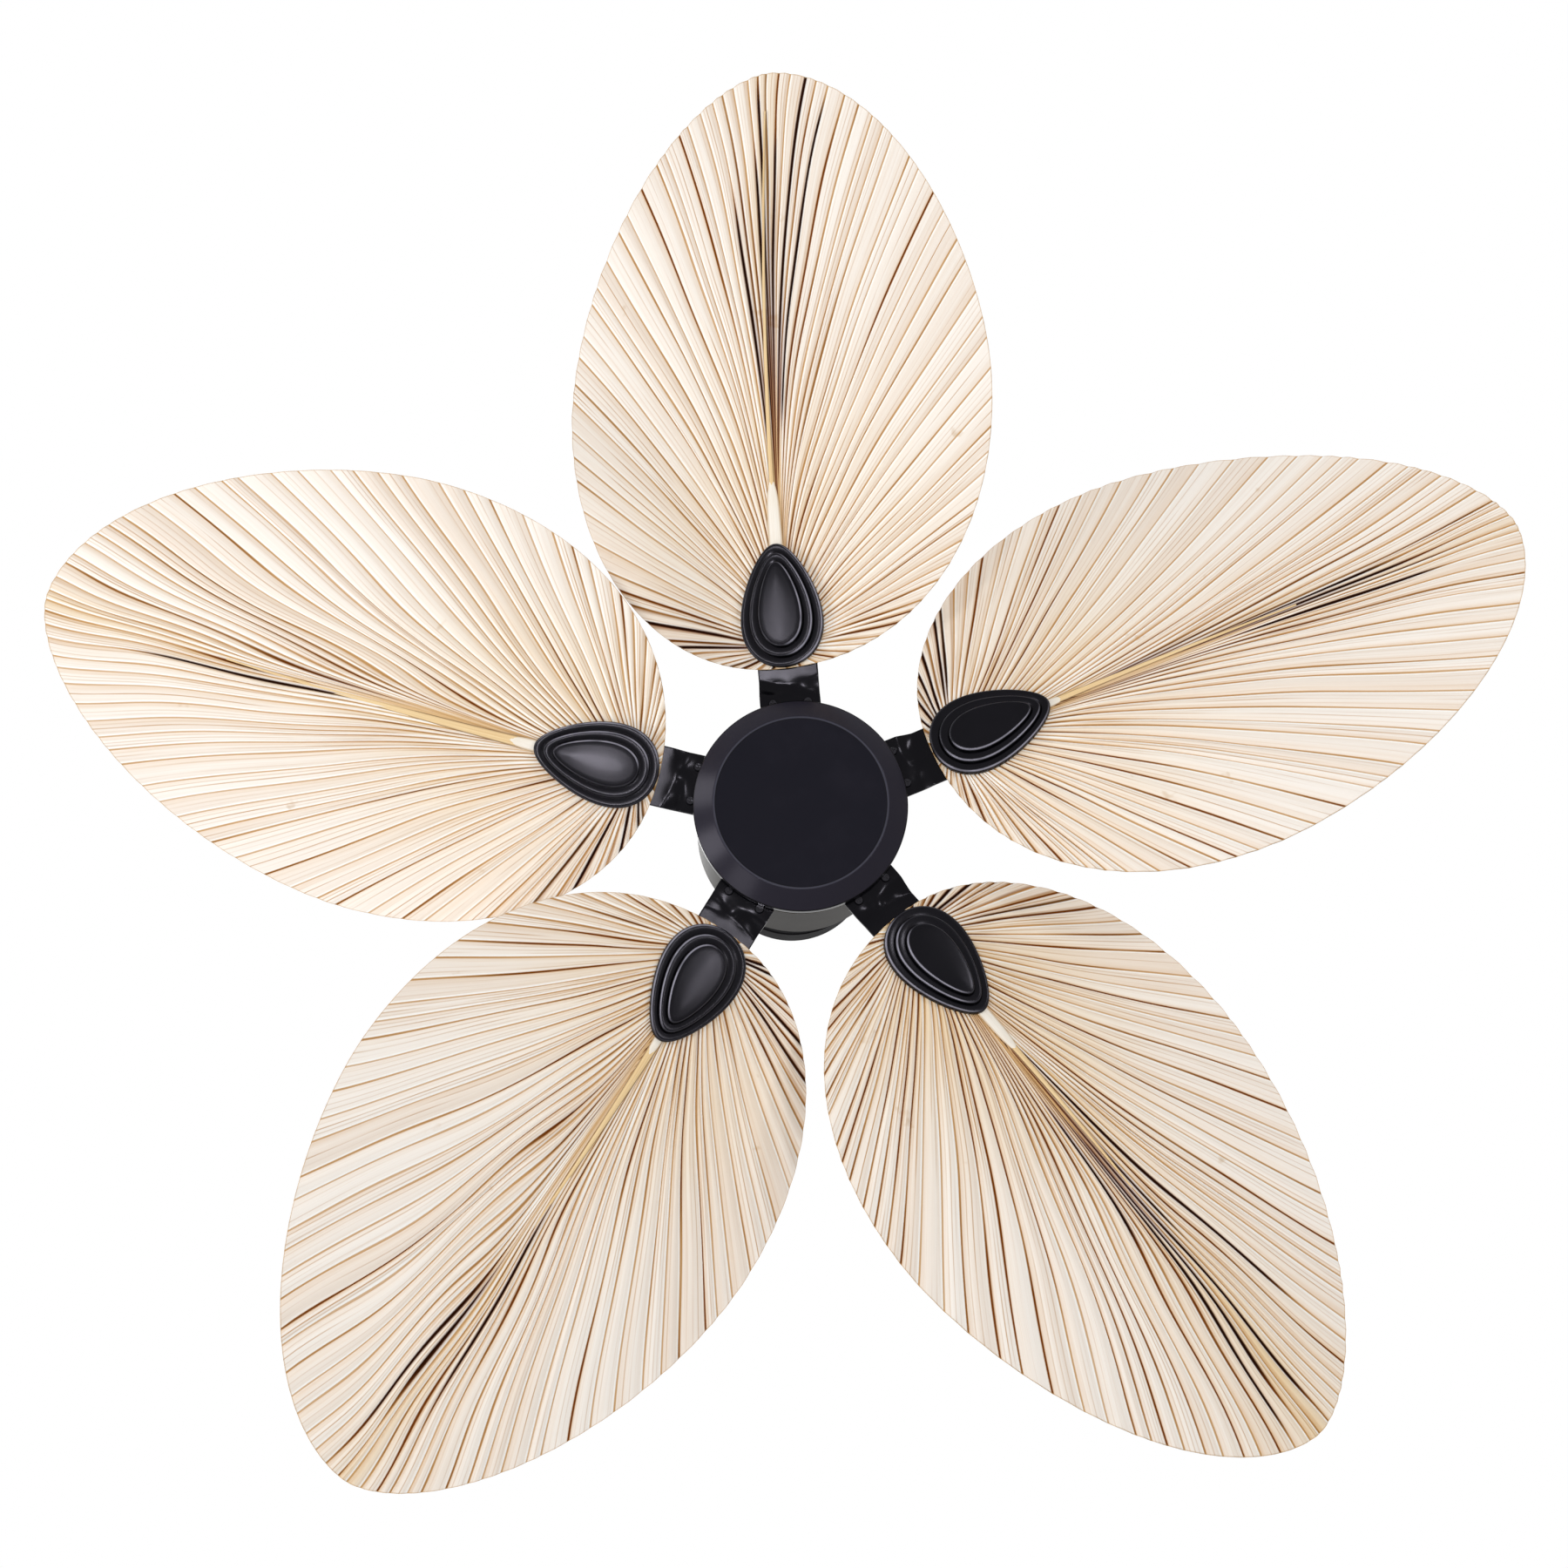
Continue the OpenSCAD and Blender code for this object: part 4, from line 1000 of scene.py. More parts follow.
FINISHES = (
    Enamel("canopy_black", linear(19, 19, 21), linear(30, 29, 31), 0.62, specular=0.04),
    DrumPaint(),
    CapPaint(),
    MedallionPaint(),
    Enamel("arm_gloss_black", linear(3, 3, 5), linear(6, 6, 8), 0.18, pebble=0.011,
           relief=0.000004, specular=0.13),
    Enamel("screw_black", linear(10, 10, 13), linear(20, 20, 24), 0.12, relief=0.000004,
           specular=0.4),
    BareMetal("zinc_steel", linear(186, 188, 190), linear(150, 152, 158), 0.34,
              grain=(260.0, 260.0, 260.0)),
    BareMetal("bright_steel", linear(206, 207, 209), linear(170, 171, 175), 0.22,
              grain=(300.0, 300.0, 2400.0)),
    Moulded("nylon_seat", linear(226, 226, 218), linear(208, 208, 200), 0.42),
    Moulded("receiver_plastic", linear(44, 44, 47), linear(34, 34, 37), 0.55),
    BareMetal("cast_iron", linear(92, 92, 96), linear(66, 66, 70), 0.55, metallic=0.8,
              grain=(700.0, 700.0, 700.0), relief=0.00012),
    BareMetal("cast_aluminium", linear(196, 197, 199), linear(166, 168, 172), 0.42,
              relief=0.00006),
    BareMetal("core_steel", linear(150, 152, 155), linear(116, 118, 124), 0.38,
              grain=(60.0, 60.0, 2600.0), relief=0.00008),
    BareMetal("winding_copper", linear(204, 128, 74), linear(170, 98, 52), 0.30,
              grain=(300.0, 300.0, 1500.0), relief=0.0001),
    Moulded("lead_insulation", linear(168, 36, 30), linear(140, 28, 24), 0.45),
    Moulded("connector_plastic", linear(236, 230, 214), linear(220, 214, 198), 0.45),
    Moulded("switch_plastic", linear(34, 34, 36), linear(26, 26, 28), 0.25),
    Moulded("slider_plastic", linear(216, 216, 214), linear(198, 198, 196), 0.40),
    Moulded("capacitor_plastic", linear(42, 42, 46), linear(34, 34, 38), 0.28),
    DriedPalm(),
)


class Paintshop:
    """Builds every finish once and gives it to the pieces."""

    def __init__(self) -> None:
        """Builds the finishes."""
        self.materials = {finish.slot: finish.build() for finish in FINISHES}
        self.tongue = DriedStalk("pale_stalk", linear(244, 237, 226), linear(232, 218, 198),
                                 linear(196, 164, 122)).build()
        self.midrib = DriedStalk("golden_midrib", linear(238, 210, 162), linear(214, 172, 116),
                                 linear(104, 68, 36)).build()

    def dress(self, piece: Piece, slot: str, body: Body, *nodes: str,
              material: Material | None = None) -> None:
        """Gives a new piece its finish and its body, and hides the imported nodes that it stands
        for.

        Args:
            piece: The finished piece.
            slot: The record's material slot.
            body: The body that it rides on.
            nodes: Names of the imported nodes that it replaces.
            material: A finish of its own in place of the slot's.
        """
        piece.data.materials.clear()
        piece.data.materials.append(material or self.materials[slot])
        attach(piece, body.value)
        if nodes:
            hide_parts(*nodes)
        log.info("%s: %d faces, on %s", piece.name, len(piece.data.polygons), body.value)

    def dress_packed(self) -> None:
        """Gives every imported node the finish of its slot."""
        for part in frame["record"]["subparts"]:
            node = frame["nodes"][part["node"]]
            for place in node.material_slots:
                place.material = self.materials[part["material_slot"]]


# ---------- blades ----------


@dataclass
class BladePlan:
    """Where the blades lie.

    Attributes:
        count: Number of blades.
        plane_z: Height at which the blades' planes meet the fan's axis.
        pitch: Pitch of a blade in degrees.
        droop: Droop of a blade in degrees.
    """

    count: int = 5
    plane_z: float = -0.250
    pitch: float = 13.5
    droop: float = 3.4

    def level(self, number: int) -> Matrix:
        """Turns a piece about the fan's axis to the place of a blade, from 1."""
        return Matrix.Rotation(FULL_TURN * (number - 1) / self.count, 4, "Z")

    def tilt(self) -> Matrix:
        """Takes a place in a leaf's plane to the first blade's place."""
        return (Matrix.Translation((0, 0, self.plane_z))
                @ Matrix.Rotation(math.radians(self.droop), 4, "Y")
                @ Matrix.Rotation(math.radians(-self.pitch), 4, "X"))

    def leaf(self, number: int) -> Matrix:
        """Takes a place in a leaf's plane to the place of a blade, from 1."""
        return self.level(number) @ self.tilt()


@dataclass
class PalmLeaf:
    """One pleated leaf, cut to an oval.

    Attributes:
        seed: Number that sets the leaf's own creases, waves and folds.
        widest: Distance of its widest place from the fan's axis.
        tip: Distance of its tip.
        lead: Half width on the leading side.
        trail: Half width on the trailing side.
        lean: Sideways lean of the tip.
        ink: How dark its creases are.
        gap_shade: How dark the painted shade is in the open creases beside its midrib.
        shaded_gaps: Those creases, counted from the midrib.
        gap_shade_span: Where that painted shade lies, as shares of the way out.
        gold: How golden the bands beside its midrib are.
        tongue: Distance of the tip of its stalk's tongue, and half the tongue's width.
        midrib: Distance of the midrib's end, and half its width.
        wave: How far the creases near the tip stray together, in pleats.
        root: Distance of its root from the fan's axis.
        pleats: Number of pleats.
        hub: Distance of the point that the pleats run from.
        thickness: Thickness of the sheet.
        fold: Most height of a pleat from its middle.
        slope: Height of a pleat as a share of its width.
        scallop: Depth by which the trimmed edge dips at a crease.
    """

    seed: int
    widest: float
    tip: float
    lead: float
    trail: float
    lean: float
    ink: float
    gap_shade: float
    shaded_gaps: tuple[int, ...]
    gap_shade_span: Pair
    gold: float
    tongue: Pair
    midrib: Pair
    wave: float = 0.10
    root: float = 0.123
    pleats: int = 78
    hub: float = 0.143
    thickness: float = 0.0009
    fold: float = 0.0012
    slope: float = 0.17
    scallop: float = 0.00025

    # how the mesh is laid: shares of a pleat with a column of points, rings from the hub to
    # the edge, how they crowd towards it, and a step along a pleat that gives its heading
    COLUMNS = (0.0, 0.07, 0.26, 0.5, 0.74, 0.93)
    RINGS = 36
    FIRST_RING = 0.16
    RING_POWER = 0.9
    STEP_OUT = 0.01
    OUTLINE_POINTS = 721

    # the outline's roundness at the tip and at the root, and where the leaf's lean starts
    TIP_POWER = 1.74
    ROOT_POWER = 2.12
    LEAN_FROM = 0.190

    # the bow of the pleat lines: its nearest place, and what it gains towards the tip
    MIDRIB_END = 0.220
    BOW = 0.140
    BOW_GAIN = ((0.176, 1.6), (0.180, 8))

    # waves of a single crease on its way out, and waves of all creases together: their size,
    # the number of pleats over one wave, and their number on the way out
    OWN_WAVES = (1.3, 3.1, 5.3)
    JOINT_WAVES = ((0.10, 13, 1.2), (0.05, 7, -2.1))
    TIP_WAVE = (23, 2.4)

    # how strong the creases are, and how many of each
    INKS = (0.25, 0.5, 0.9)
    INK_ODDS = (0.35, 0.4, 0.25)

    # the stalk's place, and the slow waves of the sheet: height, and radians in a metre
    STALK_AT = 0.22
    SWELLS = ((0.0016, 17), (0.0013, 23))

    def centre(self, x: np.ndarray) -> np.ndarray:
        """Sideways place of the leaf's middle line at a distance from the fan's axis."""
        share = np.maximum(0, (x - self.LEAN_FROM) / (self.tip - self.LEAN_FROM))
        return self.lean * share ** 2

    def edge(self, side: float, share: np.ndarray) -> tuple[np.ndarray, np.ndarray]:
        """The leaf's outline.

        Args:
            side: 1 on the leading side and -1 on the trailing side.
            share: Share of the way along the edge from the tip to the root.
        Returns:
            Distance out and sideways place of each point.
        """
        angle = np.linspace(0, math.pi, self.OUTLINE_POINTS)
        half = self.lead if side > 0 else self.trail
        reach = np.where(angle < math.pi / 2, self.tip - self.widest, self.widest - self.root)
        power = np.where(angle < math.pi / 2, self.TIP_POWER, self.ROOT_POWER)
        x = self.widest + np.sign(np.cos(angle)) * reach * np.abs(np.cos(angle)) ** (2 / power)
        y = side * half * np.abs(np.sin(angle)) ** (2 / power) + self.centre(x)
        run = np.concatenate([[0], np.cumsum(np.hypot(np.diff(x), np.diff(y)))])
        at = np.interp(share * run[-1], run, angle)
        return np.interp(at, angle, x), np.interp(at, angle, y)

    def creases(self, dice: np.random.Generator) -> np.ndarray:
        """Where the creases meet the edge: narrow pleats at the tip and the root, wide between.

        Args:
            dice: The leaf's random numbers.
        Returns:
            Their places as shares of the whole way round from the root.
        """
        middle = (np.arange(self.pleats) + 0.5) / self.pleats
        width = 0.75 + np.abs(np.sin(FULL_TURN * middle)) ** 1.2
        width *= dice.uniform(0.62, 1.38, self.pleats)
        half = self.pleats // 2
        width[:half] *= 0.5 / width[:half].sum()
        width[half:] *= 0.5 / width[half:].sum()
        return np.concatenate([[0], np.cumsum(width)])

    def lines(self, place: np.ndarray, out: np.ndarray) -> tuple[np.ndarray, np.ndarray]:
        """Points on the pleat lines, which run along the midrib and leave it in a bow.

        Args:
            place: Place round the leaf, from 0 at the root over 0.5 at the tip to 1.
            out: Share of the way from the hub to the edge.
        Returns:
            Distance out and sideways place of each point.
        """
        signed = 2 * place - 1
        share = np.abs(signed)
        lead_x, lead_y = self.edge(1, share)
        trail_x, trail_y = self.edge(-1, share)
        end_x = np.where(signed > 0, lead_x, trail_x)
        end_y = np.where(signed > 0, lead_y, trail_y)
        far = ramp(end_x, self.MIDRIB_END, self.tip - self.MIDRIB_END)
        bow_x = self.BOW + sum(gain * far ** power for gain, power in self.BOW_GAIN)
        x = (1 - out) ** 2 * self.hub + 2 * out * (1 - out) * bow_x + out ** 2 * end_x
        y = 2 * out * (1 - out) * self.centre(bow_x) + out ** 2 * end_y
        return x, y

    def grid(self, name: str) -> tuple[Piece, np.ndarray, np.ndarray]:
        """Adds the leaf as a flat grid, with columns along the pleats and rings across them.

        Args:
            name: The piece's name.
        Returns:
            The piece, and the column and the ring of each of its points.
        """
        columns = self.pleats * len(self.COLUMNS)
        nothing_selected()
        bpy.ops.mesh.primitive_grid_add(x_subdivisions=columns, y_subdivisions=self.RINGS, size=2)
        piece = newest(name)
        flat = np.empty(len(piece.data.vertices) * 3)
        piece.data.vertices.foreach_get("co", flat)
        flat = flat.reshape(-1, 3)
        return (piece, np.rint((flat[:, 0] + 1) / 2 * columns).astype(int),
                np.rint((flat[:, 1] + 1) / 2 * self.RINGS).astype(int))

    def build(self, name: str) -> Piece:
        """Makes the leaf in its own plane, with X out along the blade and Z square to it.

        Args:
            name: The piece's name.
        Returns:
            The leaf, with its maps of pleats, sizes, creases and tones.
        """
        dice = np.random.default_rng(self.seed)
        piece, column, ring = self.grid(name)
        mesh = piece.data

        # the column's place in its pleat, and the pleat's place round the leaf
        steps = len(self.COLUMNS)
        within = np.array(self.COLUMNS)[column % steps]
        pleat = column // steps + within
        creases = self.creases(dice)
        out = self.FIRST_RING + (1 - self.FIRST_RING) * (ring / self.RINGS) ** self.RING_POWER
        wander = self.wander(dice, pleat, out)
        place = np.interp(pleat + wander, np.arange(self.pleats + 1), creases)
        x, y = self.lines(place, out)

        # width of the pleat here, and the height of its fold
        band = np.minimum(pleat.astype(int), self.pleats - 1)
        ahead = self.lines(creases[band + 1], out)
        back = self.lines(creases[band], out)
        beyond = self.lines(place, out + self.STEP_OUT)
        across = np.stack([ahead[0] - back[0], ahead[1] - back[1]])
        heading = np.stack([beyond[0] - x, beyond[1] - y])
        heading /= np.maximum(1e-9, np.hypot(*heading))
        width = np.abs(across[0] * heading[1] - across[1] * heading[0])
        strength = dice.uniform(0.7, 1.3, self.pleats + 1)[np.rint(pleat).astype(int)]
        depth = np.minimum(self.fold * (1.25 - 0.6 * out), self.slope * width) * strength
        away = np.abs(2 * within - 1)
        height = depth * (2 * away ** 1.15 - 1)

        # the innermost ring lies flat on the middle line, the same on both sides
        inner = ring == 0
        height[inner] = 0
        mirrored = self.lines(1 - place[inner], out[inner])[0]
        x[inner] = (x[inner] + mirrored) / 2
        y[inner] = self.centre(x[inner])

        # the trimmed edge dips a little at each crease
        dip = np.where(ring == self.RINGS, self.scallop * away ** 2, 0)
        x -= heading[0] * dip
        y -= heading[1] * dip
        ripple = self.ripple(dice, x, y)
        mesh.vertices.foreach_set("co", np.stack([x, y, height + ripple], 1).ravel())
        mesh.update()
        length = np.hypot(beyond[0] - x, beyond[1] - y) / self.STEP_OUT
        signed = 2 * place - 1
        write_map(mesh, "pleat", pleat + 100 * self.seed, out, mesh.uv_layers[0])
        write_map(mesh, "size", width / MM, (1 - out) * length / MM)
        write_map(mesh, "crease", *self.marks(dice, pleat, out, signed))
        write_map(mesh, "tone", *self.tones(pleat, out, signed, x, y))
        close_up(piece, 2e-6)
        apply_modifier(piece, "SOLIDIFY", thickness=self.thickness, offset=0.0)
        smooth(piece, 70)
        return piece

    def wander(self, dice: np.random.Generator, pleat: np.ndarray, out: np.ndarray) -> np.ndarray:
        """How far the creases stray sideways along their way, alone and together.

        Args:
            dice: The leaf's random numbers.
            pleat: Number of each point's pleat and the share of the way over it.
            out: Share of the way from the hub to the edge.
        Returns:
            How far each point strays, in pleats.
        """
        crease = np.rint(pleat).astype(int)
        phase = dice.uniform(0, FULL_TURN, (len(self.OWN_WAVES), self.pleats + 1))
        size = dice.uniform(0.2, 1.0, self.pleats + 1) * 0.09
        alone = sum(np.sin(FULL_TURN * turns * out + phase[index][crease]) / (index + 1)
                    for index, turns in enumerate(self.OWN_WAVES)) * size[crease]
        starts = dice.uniform(0, FULL_TURN, 3)
        near_tip = bell(pleat - self.pleats * 0.53, self.pleats * 0.16)
        waves = (*self.JOINT_WAVES, (self.wave * near_tip, *self.TIP_WAVE))
        together = sum(far * np.sin(FULL_TURN * (pleat / over + turns * out) + start)
                       for (far, over, turns), start in zip(waves, starts))
        ends = np.minimum(1, np.minimum(pleat, self.pleats - pleat) / 4)
        swell = np.sin(math.pi * np.clip(out, 0, 1)) ** 0.7
        return (alone * (1 - out) + together * swell) * ends

    def marks(self, dice: np.random.Generator, pleat: np.ndarray, out: np.ndarray,
              signed: np.ndarray) -> tuple[np.ndarray, np.ndarray]:
        """How strong the nearest crease is, and how black its painted shade is.

        Args:
            dice: The leaf's random numbers.
            pleat: Number of each point's pleat and the share of the way over it.
            out: Share of the way from the hub to the edge.
            signed: Way round from the tip, from -1 to 1 at the root.
        Returns:
            Strength and blackness, from 0 to 1.
        """
        crease = np.rint(pleat).astype(int)
        count = self.pleats + 1
        usual = self.ink * dice.choice(self.INKS, count, p=self.INK_ODDS)
        turns, start = dice.uniform(0.8, 2.4, count), dice.uniform(0, 1, count)
        beat = np.sin(FULL_TURN * (turns[crease] * out + start[crease]))
        # deeper folds near the hub: their creases are drawn stronger and, below, blacker as painted
        # shade
        tight = bell(out - self.FIRST_RING, 0.28)
        strength = usual[crease] * (0.8 + 0.3 * beat) + 0.35 * tight

        # black creases are painted shade in open folds: beside the midrib, at the root's curled
        # margins and where the folds near the hub are deep
        fate = dice.uniform(0, 1, count)[crease]
        first, last = (end + dice.uniform(-0.22, 0.22, count)[crease] for end in self.gap_shade_span)
        run = ramp(out, first, 0.12) * ramp(last, out, 0.15)
        from_midrib = crease - self.pleats // 2
        beside = self.gap_shade * np.where(np.isin(from_midrib, self.shaded_gaps), 1.0,
                                      0.6 * fate * bell(from_midrib, 7))
        side = np.where(signed < 0, 1.0, 0.4)
        margin = self.margin(signed, out) * side * np.clip(1.8 * fate - 0.2, 0, 1)
        black = np.clip(1.3 * run * beside + margin + 0.45 * tight * fate, 0, 1)
        return np.clip(strength + 0.6 * black, 0, 1), black

    def margin(self, signed: np.ndarray, out: np.ndarray) -> np.ndarray:
        """How near a point is to the curled margin beside the root, from 0 to 1."""
        return ramp(np.abs(signed), 0.66, 0.16) * ramp(out, 0.35, 0.35)

    def tones(self, pleat: np.ndarray, out: np.ndarray, signed: np.ndarray, x: np.ndarray,
              y: np.ndarray) -> tuple[np.ndarray, np.ndarray]:
        """How shaded and how golden the bands are.

        Args:
            pleat: Number of each point's pleat and the share of the way over it.
            out: Share of the way from the hub to the edge.
            signed: Way round from the tip, from -1 to 1 at the root.
            x: Distance out of each point.
            y: Sideways place of each point.
        Returns:
            Shade and goldenness, from 0 to 1.
        """
        side = np.where(signed < 0, 1.0, 0.45)
        beside = bell(pleat - self.pleats / 2, 7)
        tight = bell(out - self.FIRST_RING, 0.35)
        shade = 0.22 + 0.75 * self.margin(signed, out) * side + 0.35 * beside + 0.25 * tight
        from_stalk = np.hypot(x - self.STALK_AT, y)
        from_midrib = np.abs(y - self.centre(x))
        golden = (0.45 * bell(from_stalk, 0.13) + 0.6 * bell(from_midrib, 0.012)
                  + self.gold * bell(from_midrib, 0.06))
        return np.clip(shade, 0, 1), np.clip(golden, 0, 1)

    def ripple(self, dice: np.random.Generator, x: np.ndarray, y: np.ndarray) -> np.ndarray:
        """The leaf's slow waves, none at the medallion and most at the edge.

        Args:
            dice: The leaf's random numbers.
            x: Distance out of each point.
            y: Sideways place of each point.
        Returns:
            Height of each point.
        """
        starts = dice.uniform(0, FULL_TURN, 2)
        away = ramp(np.hypot(x - 0.18, y), 0.06, 0.3)
        return away * sum(high * np.sin(along * turns + start)
                          for (high, turns), along, start in zip(self.SWELLS, (x, y), starts))


@dataclass
class Medallion:
    """The stepped egg-shaped cover under a leaf's root.

    Attributes:
        middle: Distance of its middle from the fan's axis.
        length: Its length.
        width: Its width.
        taper: How much its outer end is smaller.
        top: Depth of its upper face below the leaf's plane.
        tiers: Depth of each tier's face below the leaf's plane.
        tread: Width of each tier.
        edge: Radius of each tier's rounded edge.
        foot: Width of the groove at the foot of a step.
        hollow: Depth by which a tread sinks towards the next step.
        crown: Height of the plateau's slight crown.
    """

    middle: float = 0.1775
    length: float = 0.108
    width: float = 0.072
    taper: float = 0.32
    top: float = -0.0018
    tiers: Triple = (-0.0073, -0.01005, -0.0128)
    tread: float = 0.0083
    edge: float = 0.0024
    foot: float = 0.0004
    hollow: float = 0.0008
    crown: float = 0.0005

    SIDES = 144
    TREAD_SHARES = (0.15, 0.4, 0.65, 0.8, 0.92)
    CROWN_SHARES = (0.2, 0.4, 0.6, 0.8)

    def outline(self, angle: float) -> Pair:
        """A point of the egg, drawn about its middle.

        Args:
            angle: The angle at which the point lies on a circle.
        Returns:
            Its place along and across the egg.
        """
        widest = (1 - math.sqrt(1 + 8 * self.taper ** 2)) / (4 * self.taper)
        peak = math.sin(math.acos(widest)) * (1 - self.taper * widest)
        return (self.length / 2 * math.cos(angle),
                self.width / 2 * math.sin(angle) * (1 - self.taper * math.cos(angle)) / peak)

    def build(self, name: str) -> Piece:
        """Makes the medallion in the leaf's plane: a disc drawn to an egg, then stepped down.

        Args:
            name: The piece's name.
        Returns:
            The medallion.
        """
        nothing_selected()
        bpy.ops.mesh.primitive_circle_add(vertices=self.SIDES, radius=1, fill_type="NGON",
                                          location=(0, 0, 0))
        piece = newest(name)
        for vertex in piece.data.vertices:
            x, y = self.outline(math.atan2(vertex.co.y, vertex.co.x))
            vertex.co = (self.middle + x, y, self.top)
        bpy.ops.object.mode_set(mode="EDIT")
        bpy.ops.mesh.select_mode(type="FACE")
        bpy.ops.mesh.select_all(action="SELECT")
        line = self.side_line()
        for (inset, depth), (new_inset, new_depth) in zip(line, line[1:]):
            bpy.ops.mesh.extrude_region_move(
                TRANSFORM_OT_translate={"value": (0, 0, new_depth - depth)})
            bpy.ops.transform.resize(
                value=((self.length / 2 - new_inset) / (self.length / 2 - inset),
                       (self.width / 2 - new_inset) / (self.width / 2 - inset), 1),
                center_override=(self.middle, 0, new_depth))
        bpy.ops.mesh.poke()
        bpy.ops.object.mode_set(mode="OBJECT")
        self.map_steps(piece.data, line)
        close_up(piece)
        smooth(piece, 32)
        return piece

    def map_steps(self, mesh: bpy.types.Mesh, line: Profile) -> None:
        """Writes how far each point is from the nearest step's edge and foot.

        Args:
            mesh: The medallion's mesh, whose points lie ring after ring.
            line: Inset and depth of every ring.
        """
        starts = [number * self.tread for number in range(len(self.tiers))]
        rings = np.minimum(np.arange(len(mesh.vertices)) // self.SIDES, len(line) - 1)
        inset = np.array([place for place, _ in line])[rings]
        inset[-1] = self.width / 2
        from_edge, from_foot = (
            np.min([np.abs(inset - start - past) for start in starts], axis=0)
            for past in (0.4 * self.edge, -self.foot / 2))
        write_map(mesh, "step", from_edge / MM, from_foot / MM)
        side = np.array([vertex.co.y for vertex in mesh.vertices]) / (self.width / 2 - inset + MM)
        write_map(mesh, "side", np.clip(side, -1, 1), np.zeros(len(side)))

    def side_line(self) -> Profile:
        """The medallion's side, with rounded steps, hollow treads and a slight crown.

        Returns:
            Inset and depth of every ring.
        """
        line = [(0.0, self.top)]
        width = self.tread - self.edge - self.foot
        for number, depth in enumerate(self.tiers):
            inset = number * self.tread
            if number:
                line += [(inset - self.foot, self.tiers[number - 1] + self.hollow)]
            line += quarter_line((inset, depth + self.edge), (inset + self.edge, depth), 5)
            if number < len(self.tiers) - 1:
                line += [(inset + self.edge + width * share, depth + self.hollow * share ** 2)
                         for share in self.TREAD_SHARES]
        last = line[-1][0]
        line += [(last + (self.width / 2 - last) * share,
                  self.tiers[-1] - self.crown * math.sin(0.5 * math.pi * share))
                 for share in self.CROWN_SHARES]
        return line


@dataclass
class LeafRib:
    """A strip along a leaf's middle line: the stalk's pale tongue, or the golden midrib.

    Attributes:
        start: Distance of its inner end from the fan's axis.
        end: Distance of its tip.
        half_width: Half its width at the inner end.
        drop: Depth of its face below the leaf's plane.
        taper: How early it narrows; a high number keeps it wide up to its tip.
        sheet: Its thickness.
        half_tip: Half its width at the tip.
        hollow: Height of its sides over its middle.
        lift: Height of its tip over its inner end.
    """

    start: float
    end: float
    half_width: float
    drop: float
    taper: float
    sheet: float = 0.0010
    half_tip: float = 0.0003
    hollow: float = 0.0007
    lift: float = 0.0010

    def build(self, name: str, leaf: PalmLeaf) -> Piece:
        """Makes the strip in the leaf's plane, narrowing to a point.

        Args:
            name: The piece's name.
            leaf: The leaf whose middle line it follows.
        Returns:
            The strip.
        """
        nothing_selected()
        bpy.ops.mesh.primitive_grid_add(x_subdivisions=36, y_subdivisions=6, size=2)
        piece = newest(name)
        for vertex in piece.data.vertices:
            share = (vertex.co.x + 1) / 2
            side = vertex.co.y
            x = self.start + (self.end - self.start) * share
            half = self.half_width * (1 - share ** self.taper) + self.half_tip
            middle = float(leaf.centre(np.array(x)))
            rise = self.hollow * side * side + self.lift * share ** 2
            vertex.co = (x, middle + side * half, self.drop + rise)
        close_up(piece)
        apply_modifier(piece, "SOLIDIFY", thickness=self.sheet, offset=0.0)
        apply_modifier(piece, "BEVEL", width=0.0003, segments=2, limit_method="ANGLE")
        smooth(piece, 40)
        return piece


